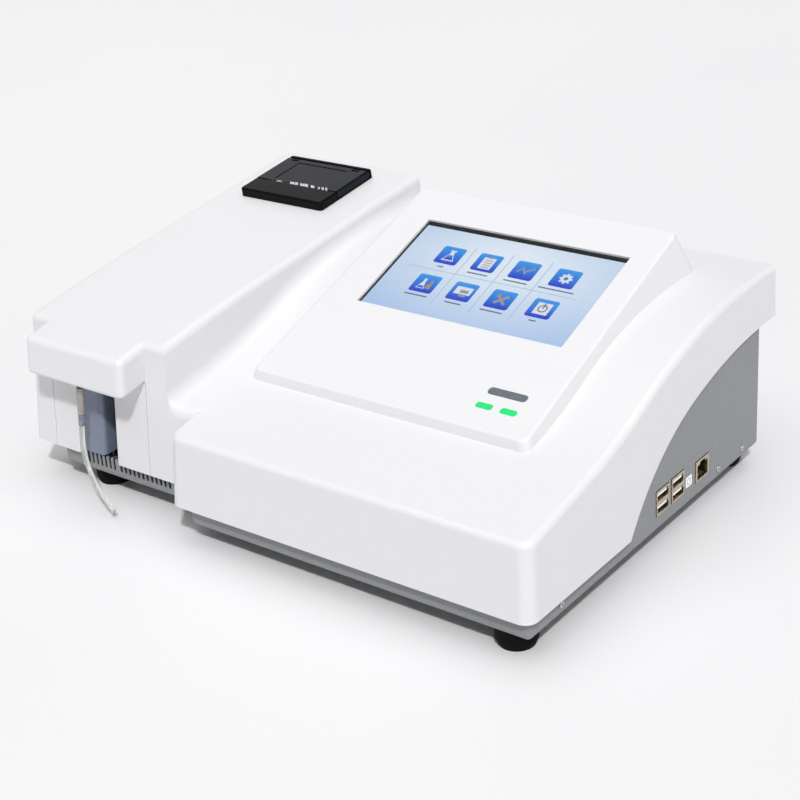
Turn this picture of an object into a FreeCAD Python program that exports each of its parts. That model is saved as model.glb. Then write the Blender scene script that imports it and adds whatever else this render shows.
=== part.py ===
import FreeCAD, Part
import Sketcher
import PartDesign
import math
import os

V = FreeCAD.Vector

# Benchtop chemistry analyser. Millimetres, +Z up, the operator stands at -Y. The origin is on the bench,
# under the middle of the whole instrument. Every size is a cell of the sheet, by name.
SIZES = [
    # moulded cover: wave-shaped top, tower on the left, console on top
    ("cover_width", 396), ("cover_depth", 281), ("foot_height", 12), ("skirt_gap", 13),
    ("cover_wall", 2.5), ("main_width", 256), ("tower_setback", 20.4), ("front_height", 44),
    ("front_lean_share", 0.07), ("side_lean_share", 0.03), ("main_left_lean_share", 0.06),
    ("wave_rise_angle", 11.3), ("wave_crest_angle", 21.3), ("wave_start", 62),
    ("wave_hollow_radius", 347), ("wave_middle", 14), ("wave_crown_radius", 330),
    ("corner_radius", 8), ("ridge_radius", 4), ("foot_cove_radius", 9),
    ("rear_skirt_height", 68.5), ("rear_floor", 3), ("arch_flat", 12), ("arch_rear_radius", 300),
    ("arch_front_radius", 150), ("arch_rear_angle", 18), ("arch_front_angle", 53), ("arch_lap", 6),
    ("tower_front_lean_share", 0.1), ("tower_side_lean_share", 0.04), ("tower_width_front", 120.8),
    ("tower_widening", 7.1), ("tower_front_height", 80.9), ("tower_rise_angle", 12.1),
    ("tower_end_angle", 7.1), ("tower_crown_radius", 1430), ("tower_radius", 4.5),
    ("nose_width", 84.3), ("nose_inset", 20.2), ("nose_depth", 15.3), ("nose_clear", 56.5),
    ("nose_lean_share", 0.12), ("nose_bottom_rise_share", 0.2),
    ("console_slope", 19.7), ("console_setback", 69.1), ("console_front_height", 64.2),
    ("console_run", 187.3), ("console_width", 196.4), ("console_inset", 45.7),
    ("console_taper_share", 0.095), ("console_lean_share", 0.33),
    ("console_front_lean_share", 0.27), ("console_rear_lean_share", 0.25),
    ("console_radius", 6), ("console_top_radius", 2),
    ("boss_radius", 4.5), ("boss_core_radius", 1.7), ("boss_core_depth", 14), ("boss_side", 28),
    ("boss_rear_side", 133), ("boss_rear_shift", 4.5), ("overrun", 600),
    ("cut_over", 1), ("fit", 0.3), ("slip", 0.05),
    # base tray and rear panel, sheet metal
    ("sheet_gauge", 1.5), ("bend_radius", 3.5), ("base_right_inset", 4), ("base_front_inset", 5),
    ("base_left_inset", 22), ("base_rear_inset", 18), ("base_step_inset", 11), ("base_step_setback", 18.9),
    ("tray_height", 20), ("vent_width", 1.95), ("vent_pitch", 3.85), ("vent_low", 5.5),
    ("vent_first", 44.2), ("vent_left_count", 7), ("vent_second", 73.2), ("vent_right_count", 12),
    ("vent_height", 12), ("key_notch_drop", 6.4),
    ("panel_top", 102), ("panel_left_gap", 6.2), ("panel_low_gap", 1),
    # feet
    ("foot_radius", 12), ("foot_low_radius", 10.5), ("foot_round", 2), ("foot_bore_radius", 5),
    ("foot_bore_depth", 6), ("foot_screw_radius", 2), ("foot_screw_head_radius", 4),
    ("foot_screw_head", 2.6), ("foot_screw_length", 13), ("foot_nut_radius", 3.6), ("foot_nut_height", 3),
    ("foot_right_inset", 21.4), ("foot_left_inset", 49.2), ("foot_front_inset", 18.7),
    ("foot_left_front_inset", 40.2), ("foot_rear_inset", 26), ("foot_right_rear_inset", 23.6),
    # front panel of the tower, key and its bracket
    ("panel_seam", 0.4), ("front_panel_wall", 2.4), ("front_panel_flange", 1.8),
    ("front_panel_lap", 4), ("front_panel_top", 64.5), ("channel_inset", 21.6), ("channel_width", 34.5),
    ("channel_top", 57), ("key_gap", 0.9), ("key_width", 19.5), ("key_recess", 1.5), ("key_low", 2),
    ("key_height", 54), ("key_depth", 13), ("key_wall", 2), ("key_edge_radius", 3.5),
    ("key_pin_radius", 1.5), ("key_pin_drop", 5), ("key_pin_back", 12.5), ("bracket_wall", 1.5),
    ("bracket_depth", 22), ("bracket_ear", 8), ("bracket_low", 2.5), ("bracket_top", 63),
    ("key_spring_radius", 3.4), ("key_spring_wall", 0.8), ("key_spring_width", 9),
    ("key_switch_width", 12.8), ("key_switch_height", 6.5), ("key_switch_depth", 5.8),
    ("key_switch_level", 10), ("key_plunger", 2), ("key_travel", 2.3),
    # sipper
    ("sipper_inset", 42), ("cap_radius", 2.5), ("cap_top", 64.5), ("cap_low", 53.2), ("cap_flange_radius", 4),
    ("cap_flange", 1.5), ("sleeve_radius", 2.3), ("sleeve_low", 34.8), ("sleeve_lean", 4.9),
    ("joint_radius", 2.1), ("joint_low", 26.5), ("joint_lean", 0.9), ("sipper_bore_radius", 0.8),
    ("sipper_back", 8),
    # screen and indicators on the console
    ("screen_up", 115), ("screen_side", 102), ("window_width", 148.7), ("window_depth", 82.9),
    ("window_lip", 1.5), ("glass_width", 164), ("glass_depth", 99), ("glass_thick", 1.6),
    ("lcd_thick", 4), ("lcd_edge", 1), ("lcd_bracket_gauge", 1), ("lcd_bracket_edge", 7),
    ("lcd_window_inset", 22), ("lcd_post_radius", 3.2), ("lcd_post_hole_radius", 1.2),
    ("bar_side", 64.8), ("bar_down", 85.3), ("bar_width", 26), ("bar_depth", 5.5), ("lens_left_side", 56.5),
    ("lens_right_side", 72.7), ("lens_down", 97.5), ("lens_width", 11), ("lens_depth", 4.5),
    ("lens_proud", 0.2), ("lens_flange", 1.2), ("lens_flange_thick", 1), ("lens_play", 0.1),
    ("light_board_width", 44), ("light_board_depth", 30), ("board_gauge", 1.6),
    ("light_board_centre_down", 91), ("light_boss_radius", 2.6),
    # panel printer
    ("printer_side", 60.5), ("printer_rear", 42.5), ("bezel_width", 72.5), ("bezel_depth", 58),
    ("bezel_low", 1.2), ("bezel_high", 6.2), ("bezel_radius", 2.5), ("strip_depth", 17.5),
    ("rear_strip_depth", 3), ("hinge_gap", 0.6), ("deck_rear", 20.6),
    ("bucket_width", 64.5), ("bucket_depth", 39), ("bucket_wall", 2), ("bucket_front", 10.2),
    ("bucket_rear", 22.5), ("lid_gap", 0.3), ("lid_front", 10.5), ("lid_wall", 1.4),
    ("lid_pin_radius", 1), ("lid_lug_inner", 24.5),
    ("lid_lug_outer", 30), ("lid_ear_side", 26.2), ("lid_ear_width", 2.2), ("lid_ear_depth", 8),
    ("platen_back", 4.5), ("platen_drop", 3), ("platen_radius", 4), ("platen_length", 50),
    ("platen_shaft_radius", 1.5), ("roll_radius", 15), ("roll_core_radius", 6), ("roll_width", 57),
    ("roll_back", 6.5), ("head_width", 50), ("head_depth", 4.6), ("head_drop", 7.4), ("head_height", 4),
    ("tear_thick", 0.6), ("tear_height", 2), ("tear_tooth", 2.5), ("tear_tooth_depth", 0.7),
    ("lid_window_width", 44), ("lid_window_depth", 27), ("lid_window_sink", 0.4),
    # main board and its sockets in the right wall
    ("board_right_gap", 0.4), ("board_width", 100), ("board_depth", 110), ("board_front", 115.5),
    ("spacer_height", 7.2), ("spacer_radius", 3), ("board_hole_inset", 5), ("board_screw_radius", 1.5),
    ("board_screw_head_radius", 2.8), ("board_screw_head", 1.8), ("usb_width", 14.5), ("usb_height", 15.9),
    ("usb_depth", 17.5), ("usb_front", 131.7), ("usb_pitch", 17.7), ("usb_mouth_width", 12.5),
    ("usb_mouth_height", 5.2), ("usb_mouth_depth", 12), ("usb_mouth_edge", 1.35), ("usb_tongue", 1.9),
    ("usb_tongue_width", 11), ("usb_tongue_sink", 0.8), ("net_width", 16), ("net_height", 13.5),
    ("net_depth", 21), ("net_front", 178.1), ("net_mouth_width", 12.4), ("net_mouth_height", 9.4),
    ("net_mouth_low", 1.1), ("net_notch_width", 6.4), ("net_notch_height", 1.6),
    ("net_mouth_depth", 13), ("port_proud", 0.5), ("port_play", 0.3), ("chip_size", 18),
    ("chip_height", 1.8), ("connector_width", 36), ("connector_depth", 6), ("connector_height", 8),
    ("wall_screw_low", 19), ("wall_screw_front", 30.7), ("wall_screw_middle", 206.5),
    ("wall_screw_rear", 237.5), ("wall_screw_radius", 1.5), ("wall_screw_head_radius", 2.6),
    ("wall_screw_head", 1.3), ("side_screw_radius", 1.2), ("side_screw_head_radius", 1.9),
    ("side_screw_head", 0.8), ("side_nut_height", 2), ("side_nut_radius", 2.5),
    # rear panel fittings
    ("inlet_inset", 44), ("rocker_pitch", 45), ("fitting_level", 50), ("inlet_flange_width", 50),
    ("inlet_flange_height", 22.6), ("inlet_flange", 3), ("inlet_body_width", 27.4),
    ("inlet_body_height", 19.8), ("inlet_body_depth", 16), ("inlet_mouth_width", 24.4),
    ("inlet_mouth_height", 16.4), ("inlet_mouth_depth", 14.5), ("inlet_mouth_corner", 4.5),
    ("inlet_pin_width", 2), ("inlet_pin_height", 4), ("inlet_pin_spacing", 7), ("inlet_pin_step", 2),
    ("inlet_pin_length", 9), ("inlet_screw_spacing", 40), ("inlet_screw_radius", 1.5),
    ("inlet_screw_head_radius", 2.7), ("rocker_frame_width", 15), ("rocker_frame_height", 21),
    ("rocker_frame", 2), ("rocker_body_width", 12.8), ("rocker_body_height", 19), ("rocker_body_depth", 16),
    ("rocker_cavity_width", 10.6), ("rocker_cavity_height", 16.8), ("rocker_cavity_depth", 8),
    ("rocker_angle", 9), ("rocker_thick", 4.5), ("rocker_play", 0.3), ("rocker_pin_radius", 1.2),
    ("fan_size", 60), ("fan_depth", 15), ("fan_level", 64), ("fan_bore_radius", 28.5),
    ("fan_hub_radius", 12.5), ("fan_blade_radius", 27.6), ("fan_blade_gauge", 1.4),
    ("fan_blade_angle", 38), ("fan_blade_count", 7), ("fan_hole_spacing", 50), ("fan_hole_radius", 2.1),
    ("fan_strut_width", 4), ("fan_back", 3), ("fan_hub_depth", 10.4), ("fan_shaft_radius", 1.5),
    ("guard_wire_radius", 0.9), ("guard_ring_step", 7), ("guard_ring_count", 4), ("fan_screw_radius", 1.9),
    ("fan_screw_head_radius", 3.4), ("fan_screw_head", 2), ("waste_side", 70), ("waste_level", 45),
    ("barb_radius", 3.2), ("barb_step", 0.7), ("barb_pitch", 3.6), ("barb_count", 3),
    ("waste_flange_radius", 7), ("waste_flange", 3), ("waste_inner", 9), ("waste_bore_radius", 1.9),
    ("panel_screw_level", 24), ("panel_screw_first", 26), ("panel_screw_count", 4),
    # power supply
    ("supply_left", 45), ("supply_gap", 4.5), ("supply_width", 105), ("supply_depth", 62),
    ("supply_height", 32), ("supply_vent_width", 2.4), ("supply_vent_length", 26), ("supply_vent_pitch", 6),
    ("supply_vent_count", 12), ("supply_edge", 3),
    # optical bench
    ("bench_left", 165), ("bench_front", 45), ("bench_width", 80), ("bench_depth", 140),
    ("bench_thick", 6), ("bench_stand", 3), ("bench_pillar_radius", 5), ("bench_pillar_inset", 9),
    ("beam_side", 140), ("beam_level", 57), ("lamp_width", 26), ("lamp_front", 50), ("lamp_depth", 35),
    ("lamp_height", 57), ("lamp_fin_gap", 3), ("lamp_fin_pitch", 6), ("lamp_fin_count", 4),
    ("lamp_fin_cut", 5), ("lamp_bore_radius", 7), ("lamp_radius", 5.5), ("lamp_length", 22),
    ("lens_tube_radius", 9), ("lens_tube_wall", 1.5), ("lens_tube_gap", 11), ("wheel_radius", 32),
    ("wheel_thick", 4), ("wheel_front", 34), ("wheel_hole_pitch_radius", 26), ("filter_count", 8),
    ("filter_radius", 5.5), ("filter_thick", 3), ("wheel_hub_radius", 6), ("wheel_hub", 2.5),
    ("wheel_shaft_radius", 1.5), ("wheel_shaft", 12), ("motor_bracket_gauge", 3),
    ("motor_bracket_width", 28), ("motor_bracket_height", 50), ("motor_radius", 12), ("motor_length", 26),
    ("cell_block_front", 8), ("cell_block_depth", 22), ("cell_block_width", 24), ("cell_block_height", 52),
    ("beam_radius", 4), ("cell_size", 12.5), ("cell_height", 38), ("cell_low", 38), ("cell_port", 6),
    ("cell_port_radius", 1.8), ("cell_port_height", 2), ("detector_depth", 15), ("detector_height", 46),
    # sampling pump
    ("pump_middle", 63), ("pump_level", 37), ("pump_face", 6), ("pump_motor_size", 42),
    ("pump_motor_length", 34), ("pump_motor_radius", 4), ("pump_bracket_gauge", 2),
    ("pump_bracket_height", 49), ("pump_bracket_foot", 20), ("pump_head_depth", 22),
    ("pump_head_side", 25), ("pump_head_bore_radius", 21), ("pump_head_back", 3),
    ("pump_arm_radius", 15.2), ("pump_arm_thick", 2), ("pump_roller_radius", 4.5),
    ("pump_roller_length", 11), ("pump_roller_orbit", 11.3), ("pump_roller_pin_radius", 1.5),
    ("pump_shaft_radius", 2.5), ("pump_shaft", 14), ("pump_hub_radius", 5), ("pump_tube_radius", 2.2),
    ("pump_loop_radius", 18.5), ("pump_slot_width", 5.2), ("tube_bend", 9), ("inner_tube_radius", 1.6),
]

doc = FreeCAD.newDocument("chemistry_analyser")
sheet = doc.addObject("Spreadsheet::Sheet", "Sizes")
for row, (alias, number) in enumerate(SIZES, 1):
    sheet.set("A%d" % row, alias)
    sheet.set("B%d" % row, str(number))
    sheet.setAlias("B%d" % row, alias)
doc.recompute()


class Size(float):
    # a size with the sheet expression that it comes from
    def __new__(cls, text, number):
        size = float.__new__(cls, number)
        size.text = text
        return size

    def joined(self, sign, other, number, swapped=False):
        theirs = getattr(other, "text", repr(other))
        pair = (theirs, self.text) if swapped else (self.text, theirs)
        return Size("(%s %s %s)" % (pair[0], sign, pair[1]), number)

    def __add__(self, other):
        return self.joined("+", other, float(self) + float(other))

    def __radd__(self, other):
        return self.joined("+", other, float(other) + float(self), True)

    def __sub__(self, other):
        return self.joined("-", other, float(self) - float(other))

    def __rsub__(self, other):
        return self.joined("-", other, float(other) - float(self), True)

    def __mul__(self, other):
        return self.joined("*", other, float(self)*float(other))

    def __rmul__(self, other):
        return self.joined("*", other, float(other)*float(self), True)

    def __truediv__(self, other):
        return self.joined("/", other, float(self)/float(other))

    def __neg__(self):
        return Size("(0 - %s)" % self.text, -float(self))


class Sheet:
    def __getattr__(self, name):
        return Size("Sizes." + name, float(getattr(sheet, name)))


g = Sheet()
nodes = []


def node(label, piece):
    piece.Label = label
    nodes.append(piece)
    return piece


def formed(label, shape, placement=None):
    piece = doc.addObject("Part::Feature", label)
    piece.Shape = shape
    if placement:
        piece.Placement = placement
    return node(label, piece)


def bind(piece, **sizes):
    for name, size in sizes.items():
        path = name.replace("_", ".")
        if isinstance(size, Size):
            piece.setExpression(path, size.text)


def block(name, at, size):
    piece = doc.addObject("Part::Box", name)
    bind(piece, Length=size[0], Width=size[1], Height=size[2],
         Placement_Base_x=at[0], Placement_Base_y=at[1], Placement_Base_z=at[2])
    return piece


def rod(name, at, radius, length, axis="Z"):
    piece = doc.addObject("Part::Cylinder", name)
    turns = {"X": (V(0, 1, 0), 90), "Y": (V(-1, 0, 0), 90), "Z": (V(0, 0, 1), 0)}
    piece.Placement = FreeCAD.Placement(V(0, 0, 0), FreeCAD.Rotation(*turns[axis]))
    bind(piece, Radius=radius, Height=length,
         Placement_Base_x=at[0], Placement_Base_y=at[1], Placement_Base_z=at[2])
    return piece


def cut(name, base, *tools):
    tool = tools[0] if len(tools) == 1 else fused(name + "_tools", *tools)
    piece = doc.addObject("Part::Cut", name)
    piece.Base, piece.Tool = base, tool
    return piece


def fused(name, *pieces):
    piece = doc.addObject("Part::MultiFuse", name)
    piece.Shapes = list(pieces)
    return piece


def copy_of(name, shape):
    piece = doc.addObject("Part::Feature", name)
    piece.Shape = shape
    return piece


def sketched(body, name, role, loops, offset=None):
    # a sketch on one of the body's own planes; a loop is a list of corners or (x, y, radius)
    sketch = body.newObject("Sketcher::SketchObject", name)
    plane = [f for f in body.Origin.OriginFeatures if f.Role == role][0]
    sketch.AttachmentSupport = [(plane, "")]
    sketch.MapMode = "FlatFace"
    if offset is not None:
        sketch.setExpression(".AttachmentOffset.Base.z", offset.text)
    for loop in loops:
        first = sketch.GeometryCount
        if isinstance(loop, tuple):
            x, y, radius = loop
            sketch.addGeometry(Part.Circle(V(x, y, 0), V(0, 0, 1), radius), False)
            pinned(sketch, first, 3, x, y)
            at = sketch.addConstraint(Sketcher.Constraint("Radius", first, float(radius)))
            sketch.setExpression("Constraints[%d]" % at, radius.text)
            continue
        count = len(loop)
        for i in range(count):
            a, b = loop[i], loop[(i + 1) % count]
            sketch.addGeometry(Part.LineSegment(V(a[0], a[1], 0), V(b[0], b[1], 0)), False)
        for i in range(count):
            sketch.addConstraint(Sketcher.Constraint("Coincident", first + i, 2, first + (i + 1) % count, 1))
        for i in range(count):
            pinned(sketch, first + i, 1, loop[i][0], loop[i][1])
    return sketch


def pinned(sketch, line, end, x, y):
    for kind, size, axis in (("DistanceX", x, -2), ("DistanceY", y, -1)):
        if float(size) == 0:
            sketch.addConstraint(Sketcher.Constraint("PointOnObject", line, end, axis))
            continue
        at = sketch.addConstraint(Sketcher.Constraint(kind, -1, 1, line, end, float(size)))
        sketch.setExpression("Constraints[%d]" % at, size.text)


def padded(body, name, sketch, length, reverse=False):
    pad = body.newObject("PartDesign::Pad", name)
    pad.Profile = sketch
    pad.setExpression("Length", length.text)
    pad.Reversed = reverse
    return pad


def pocketed(body, name, sketch, depth, reverse=False):
    pocket = body.newObject("PartDesign::Pocket", name)
    pocket.Profile = sketch
    pocket.setExpression("Length", depth.text)
    pocket.Reversed = reverse
    return pocket


def ringed(body, name, features, axis, count):
    ring = body.newObject("PartDesign::PolarPattern", name)
    ring.Originals = list(features)
    ring.Axis = axis
    ring.Angle = 360
    ring.setExpression("Occurrences", count.text)
    body.Tip = ring
    return ring


def box_of(x0, x1, y0, y1, z0, z1):
    return Part.makeBox(x1 - x0, y1 - y0, z1 - z0, V(x0, y0, z0))


def between(a, b, radius):
    return Part.makeCylinder(radius, (b - a).Length, a, b - a)


def compound_of(shapes):
    return Part.makeCompound(list(shapes))


# Half-spaces, paths and tubes from which the mouldings are formed


def half(point, normal, inset=0.0):
    n = V(*normal).normalize()
    block = Part.makeBox(g.overrun, g.overrun, g.overrun, V(-g.overrun/2, -g.overrun/2, 0))
    block.Placement = FreeCAD.Placement(V(*point) - n*inset, FreeCAD.Rotation(V(0, 0, 1), n))
    return block


def walled(planes, inset=0.0):
    block = Part.makeBox(g.overrun, g.overrun, g.overrun, V(-g.overrun/2, -g.overrun/2, -g.overrun/4))
    for point, normal in planes:
        block = block.cut(half(point, normal, inset))
    return block


def side_path(start, heading, moves):
    # straight runs and tangent arcs seen from the side; a move is (length,) or (radius, turn)
    y, z = start
    angle = math.radians(heading)
    edges = []
    for move in moves:
        if len(move) == 1:
            end = V(0, y + move[0]*math.cos(angle), z + move[0]*math.sin(angle))
            edges.append(Part.LineSegment(V(0, y, z), end).toShape())
        else:
            radius, turn = move[0], math.radians(move[1])
            side = 1 if turn > 0 else -1
            cy, cz = y - side*radius*math.sin(angle), z + side*radius*math.cos(angle)
            points = [V(0, cy + side*radius*math.sin(q), cz - side*radius*math.cos(q))
                      for q in (angle, angle + turn/2, angle + turn)]
            edges.append(Part.Arc(points[0], points[1], points[2]).toShape())
            end, angle = points[2], angle + turn
        y, z = end.y, end.z
    return edges, (y, z)


def below(edges, first, last, low, x0, x1):
    # the prism between a side path and a level under it, from x0 to x1
    closing = [V(0, last[0], last[1]), V(0, last[0], low), V(0, first[0], low), V(0, first[0], first[1])]
    wire = Part.Wire(edges + [Part.LineSegment(a, b).toShape() for a, b in zip(closing, closing[1:])])
    prism = Part.Face(wire).extrude(V(x1 - x0, 0, 0))
    prism.translate(V(x0, 0, 0))
    return prism


def upright(edge):
    if len(edge.Vertexes) < 2:
        return False
    along = edge.Vertexes[1].Point - edge.Vertexes[0].Point
    return abs(along.z) > 0.9*along.Length


def rounded(shape, radius, chosen):
    return shape.makeFillet(radius, [e for e in shape.Edges if len(e.Vertexes) == 2 and chosen(e)])


# Places that several pieces share
right = g.cover_width/2
left = -right
front = -g.cover_depth/2
rear = -front
skirt = g.foot_height + g.skirt_gap
main_left = right - g.main_width
tower_front = front + g.tower_setback
front_wall = ((0, front, skirt), (0, -1, g.front_lean_share))
right_wall = ((right, 0, skirt), (1, 0, g.side_lean_share))
rear_wall = ((0, rear, 0), (0, 1, 0))
step_wall = ((main_left, 0, skirt), (-1, 0, g.main_left_lean_share))
tower_face = ((0, tower_front, skirt), (0, -1, g.tower_front_lean_share))
tower_left = ((left, 0, skirt), (-1, 0, g.tower_side_lean_share))
tower_top = g.tower_front_height + skirt
tower_right = ((left + g.tower_width_front, tower_front, tower_top),
               (1, -g.tower_widening/(rear - tower_front), g.tower_side_lean_share))
nose_left = left + g.nose_inset
nose_right = nose_left + g.nose_width
nose_front = tower_front - g.nose_depth
nose_level = g.nose_clear + skirt


def wave_path(inset):
    rise = math.radians(g.wave_rise_angle)
    lead = g.corner_radius*2
    start = (front - lead*math.cos(rise) + inset*math.sin(rise),
             skirt + g.front_height + (g.front_lean_share*g.front_height - lead)*math.sin(rise)
             - inset*math.cos(rise))
    moves = [(lead + g.wave_start,),
             (g.wave_hollow_radius + inset, g.wave_crest_angle - g.wave_rise_angle),
             (g.wave_middle,), (g.wave_crown_radius - inset, -g.wave_crest_angle), (g.cover_depth,)]
    edges, end = side_path(start, g.wave_rise_angle, moves)
    return edges, start, end


def wave_form(inset):
    edges, start, end = wave_path(inset)
    prism = below(edges, start, end, -g.cover_depth, left*2, right*2)
    block = walled([front_wall, right_wall, rear_wall], inset)
    block = block.cut(half(step_wall[0], step_wall[1], inset).common(half(*tower_face, inset)))
    block = block.cut(half((left + g.tower_width_front/2, 0, 0), (-1, 0, 0)))
    block = rounded(block, g.corner_radius - inset,
                    lambda e: upright(e) and e.CenterOfMass.y < front + g.corner_radius + inset)
    return block.common(prism)


def tower_path(inset):
    rise = math.radians(g.tower_rise_angle)
    lead = g.tower_setback
    start = (front - lead*math.cos(rise) + inset*math.sin(rise),
             tower_top - g.corner_radius*math.tan(rise) - lead*math.sin(rise) - inset*math.cos(rise))
    moves = [(lead,), (g.tower_crown_radius - inset, g.tower_end_angle - g.tower_rise_angle),
             (g.cover_depth,)]
    edges, end = side_path(start, g.tower_rise_angle, moves)
    return edges, start, end


def tower_form(inset):
    edges, start, end = tower_path(inset)
    prism = below(edges, start, end, -g.cover_depth, left*2, right*2)
    block = walled([tower_face, tower_left, tower_right, rear_wall], inset)
    nose = walled([((nose_left, 0, 0), (-1, 0, 0)), ((nose_right, 0, 0), (1, 0, 0)),
                   ((0, nose_front, nose_level), (0, -1, g.nose_lean_share)),
                   ((0, nose_front, nose_level), (0, g.nose_bottom_rise_share, -1)),
                   ((0, tower_front + g.nose_depth*2, 0), (0, 1, 0))], inset)
    return block.fuse(nose).common(prism).removeSplitter()


slope = math.radians(g.console_slope)
console_front = front + g.console_setback
console_low = skirt + g.console_front_height
console_right = right - g.console_inset
console_left = console_right - g.console_width
console_normal = (0, -math.sin(slope), math.cos(slope))


def console_form(inset):
    ry = console_front + g.console_run*math.cos(slope)
    rz = console_low + g.console_run*math.sin(slope)
    corner = (0, console_front, console_low)
    block = walled([(corner, console_normal), (corner, (0, -1, g.console_front_lean_share)),
                    ((0, ry, rz), (0, 1, g.console_rear_lean_share)),
                    ((console_right, console_front, console_low), (1, -g.console_taper_share, g.console_lean_share)),
                    ((console_left, console_front, console_low),
                     (-1, -g.console_taper_share, g.console_lean_share))], inset)
    block = block.cut(half((0, 0, console_low - g.console_front_height/2), (0, 0, -1)))
    return rounded(block, g.console_radius - inset, upright)


# Main cover: one moulding, hollow, with the wave, the console, the tower and its nose
wave = wave_form(0.0)
console = console_form(0.0)
outside = wave.fuse(tower_form(0.0)).removeSplitter()
tower_edge = left + g.tower_width_front
top_wire = Part.Wire(tower_path(0.0)[0])


def on_wave(edge):
    centre = edge.CenterOfMass
    over = V(centre.x + g.ridge_radius, centre.y, centre.z)
    step = V(0, 0, g.cover_wall/2)
    return (abs(centre.x - tower_edge) < g.foot_cove_radius + g.ridge_radius and not upright(edge)
            and wave.isInside(over - step, g.slip, True) and not wave.isInside(over + step, g.slip, True))


def on_wave_rim(edge):
    centre = edge.CenterOfMass
    return (not upright(edge) and centre.z > skirt + g.front_height/2 and centre.x > main_left - g.ridge_radius
            and centre.y < rear - g.cover_wall
            and (centre.x > right - g.corner_radius or centre.y < front + g.corner_radius + g.cover_wall))


def on_tower_rim(edge):
    centre = edge.CenterOfMass
    middle = (nose_left + nose_right)/2
    if centre.y > rear - g.cover_wall or centre.x > tower_edge + g.foot_cove_radius:
        return False
    if upright(edge):
        beside = abs(abs(centre.x - middle) - g.nose_width/2) < g.cover_wall
        return (centre.y < tower_front + g.corner_radius and centre.x < nose_right + g.cover_wall
                and (not beside or centre.y < nose_front + g.tower_radius))
    seen = Part.Vertex(V(0, centre.y, centre.z))
    return seen.distToShape(top_wire)[0] < g.cover_wall/2 and edge.BoundBox.XLength < g.nose_width + g.cover_wall


def on_nose_foot(edge):
    centre = edge.CenterOfMass
    level = nose_level + (centre.y - nose_front)*g.nose_bottom_rise_share
    return (centre.y < tower_front - g.cover_wall/2 and abs(centre.z - level) < g.cover_wall/2
            and nose_left - g.cover_wall < centre.x < nose_right + g.cover_wall)


def on_console_rim(edge):
    away = edge.CenterOfMass - V(0, console_front, console_low)
    return abs(away.dot(V(*console_normal))) < g.fit


outside = rounded(outside, g.foot_cove_radius, on_wave)
outside = rounded(outside, g.ridge_radius, on_wave_rim)
outside = rounded(outside, g.tower_radius, on_tower_rim)
outside = rounded(outside, g.cover_wall, on_nose_foot)
console = rounded(console, g.console_top_radius, on_console_rim)
outside = outside.fuse(console).removeSplitter()

inside = wave_form(g.cover_wall).fuse([tower_form(g.cover_wall), console_form(g.cover_wall)]).removeSplitter()
base_right = right - g.base_right_inset
base_left = left + g.base_left_inset
base_front = front + g.base_front_inset
base_rear = rear - g.base_rear_inset
base_step = main_left + g.base_step_inset
base_step_front = base_front + g.base_step_setback
rear_skirt = skirt + g.rear_skirt_height
rear_edge = base_rear + g.cover_wall/5
floor = box_of(left*2, right*2, rear_edge, rear*2, -g.cover_depth, rear_skirt + g.rear_floor)
inside = inside.cut(floor)


def arch_form(grow, low, x0, x1):
    # what lies below the arch of the right skirt, grown outwards
    moves = [(g.arch_flat,), (g.arch_rear_radius + grow, g.arch_rear_angle),
             (g.arch_front_radius + grow, g.arch_front_angle - g.arch_rear_angle)]
    start = (rear, rear_skirt + grow)
    end = side_path(start, 180, moves)[1]
    fall = (end[1] - low)/math.sin(math.radians(g.arch_front_angle))
    edges, end = side_path(start, 180, moves + [(fall,)])
    return below(edges, start, end, low - g.sheet_gauge, x0, x1)


lap_slot = arch_form(g.arch_lap + g.port_play, skirt, base_right - g.base_front_inset, base_right + g.fit)
lap_slot = lap_slot.common(box_of(0, right, front, rear_edge, 0, g.cover_depth))
arch = arch_form(0, skirt, base_right - g.base_front_inset, right*2)
door = box_of(nose_left, nose_right, tower_front - g.cover_wall, tower_front + g.foot_left_inset/2,
              -g.cover_depth, nose_level*2)
door = door.cut(half((0, nose_front, nose_level), (0, -g.nose_bottom_rise_share, 1)))
under_skirt = box_of(left*2, right*2, front*2, rear*2, -g.cover_depth, skirt)
under_rear = box_of(left*2, right*2, rear_edge, rear*2, -g.cover_depth, rear_skirt)
housing = outside.cut([inside, lap_slot, arch, door, under_skirt, under_rear])

# Sloping frames of the console and of the tower's top: u to the right, v up the slope, n out of it
screen_x = console_left + g.screen_side
screen_frame = FreeCAD.Placement(
    V(screen_x, console_front + g.screen_up*math.cos(slope), console_low + g.screen_up*math.sin(slope)),
    FreeCAD.Rotation(V(1, 0, 0), g.console_slope))


def framed(frame, shape):
    shape = shape.copy()
    shape.Placement = frame.multiply(shape.Placement)
    return shape


def plate(u, v, width, depth, n0, n1, share=0.0):
    body = box_of(u - width/2, u + width/2, v - depth/2, v + depth/2, n0, n1)
    return rounded(body, min(width, depth)*share, upright) if share else body


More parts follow.
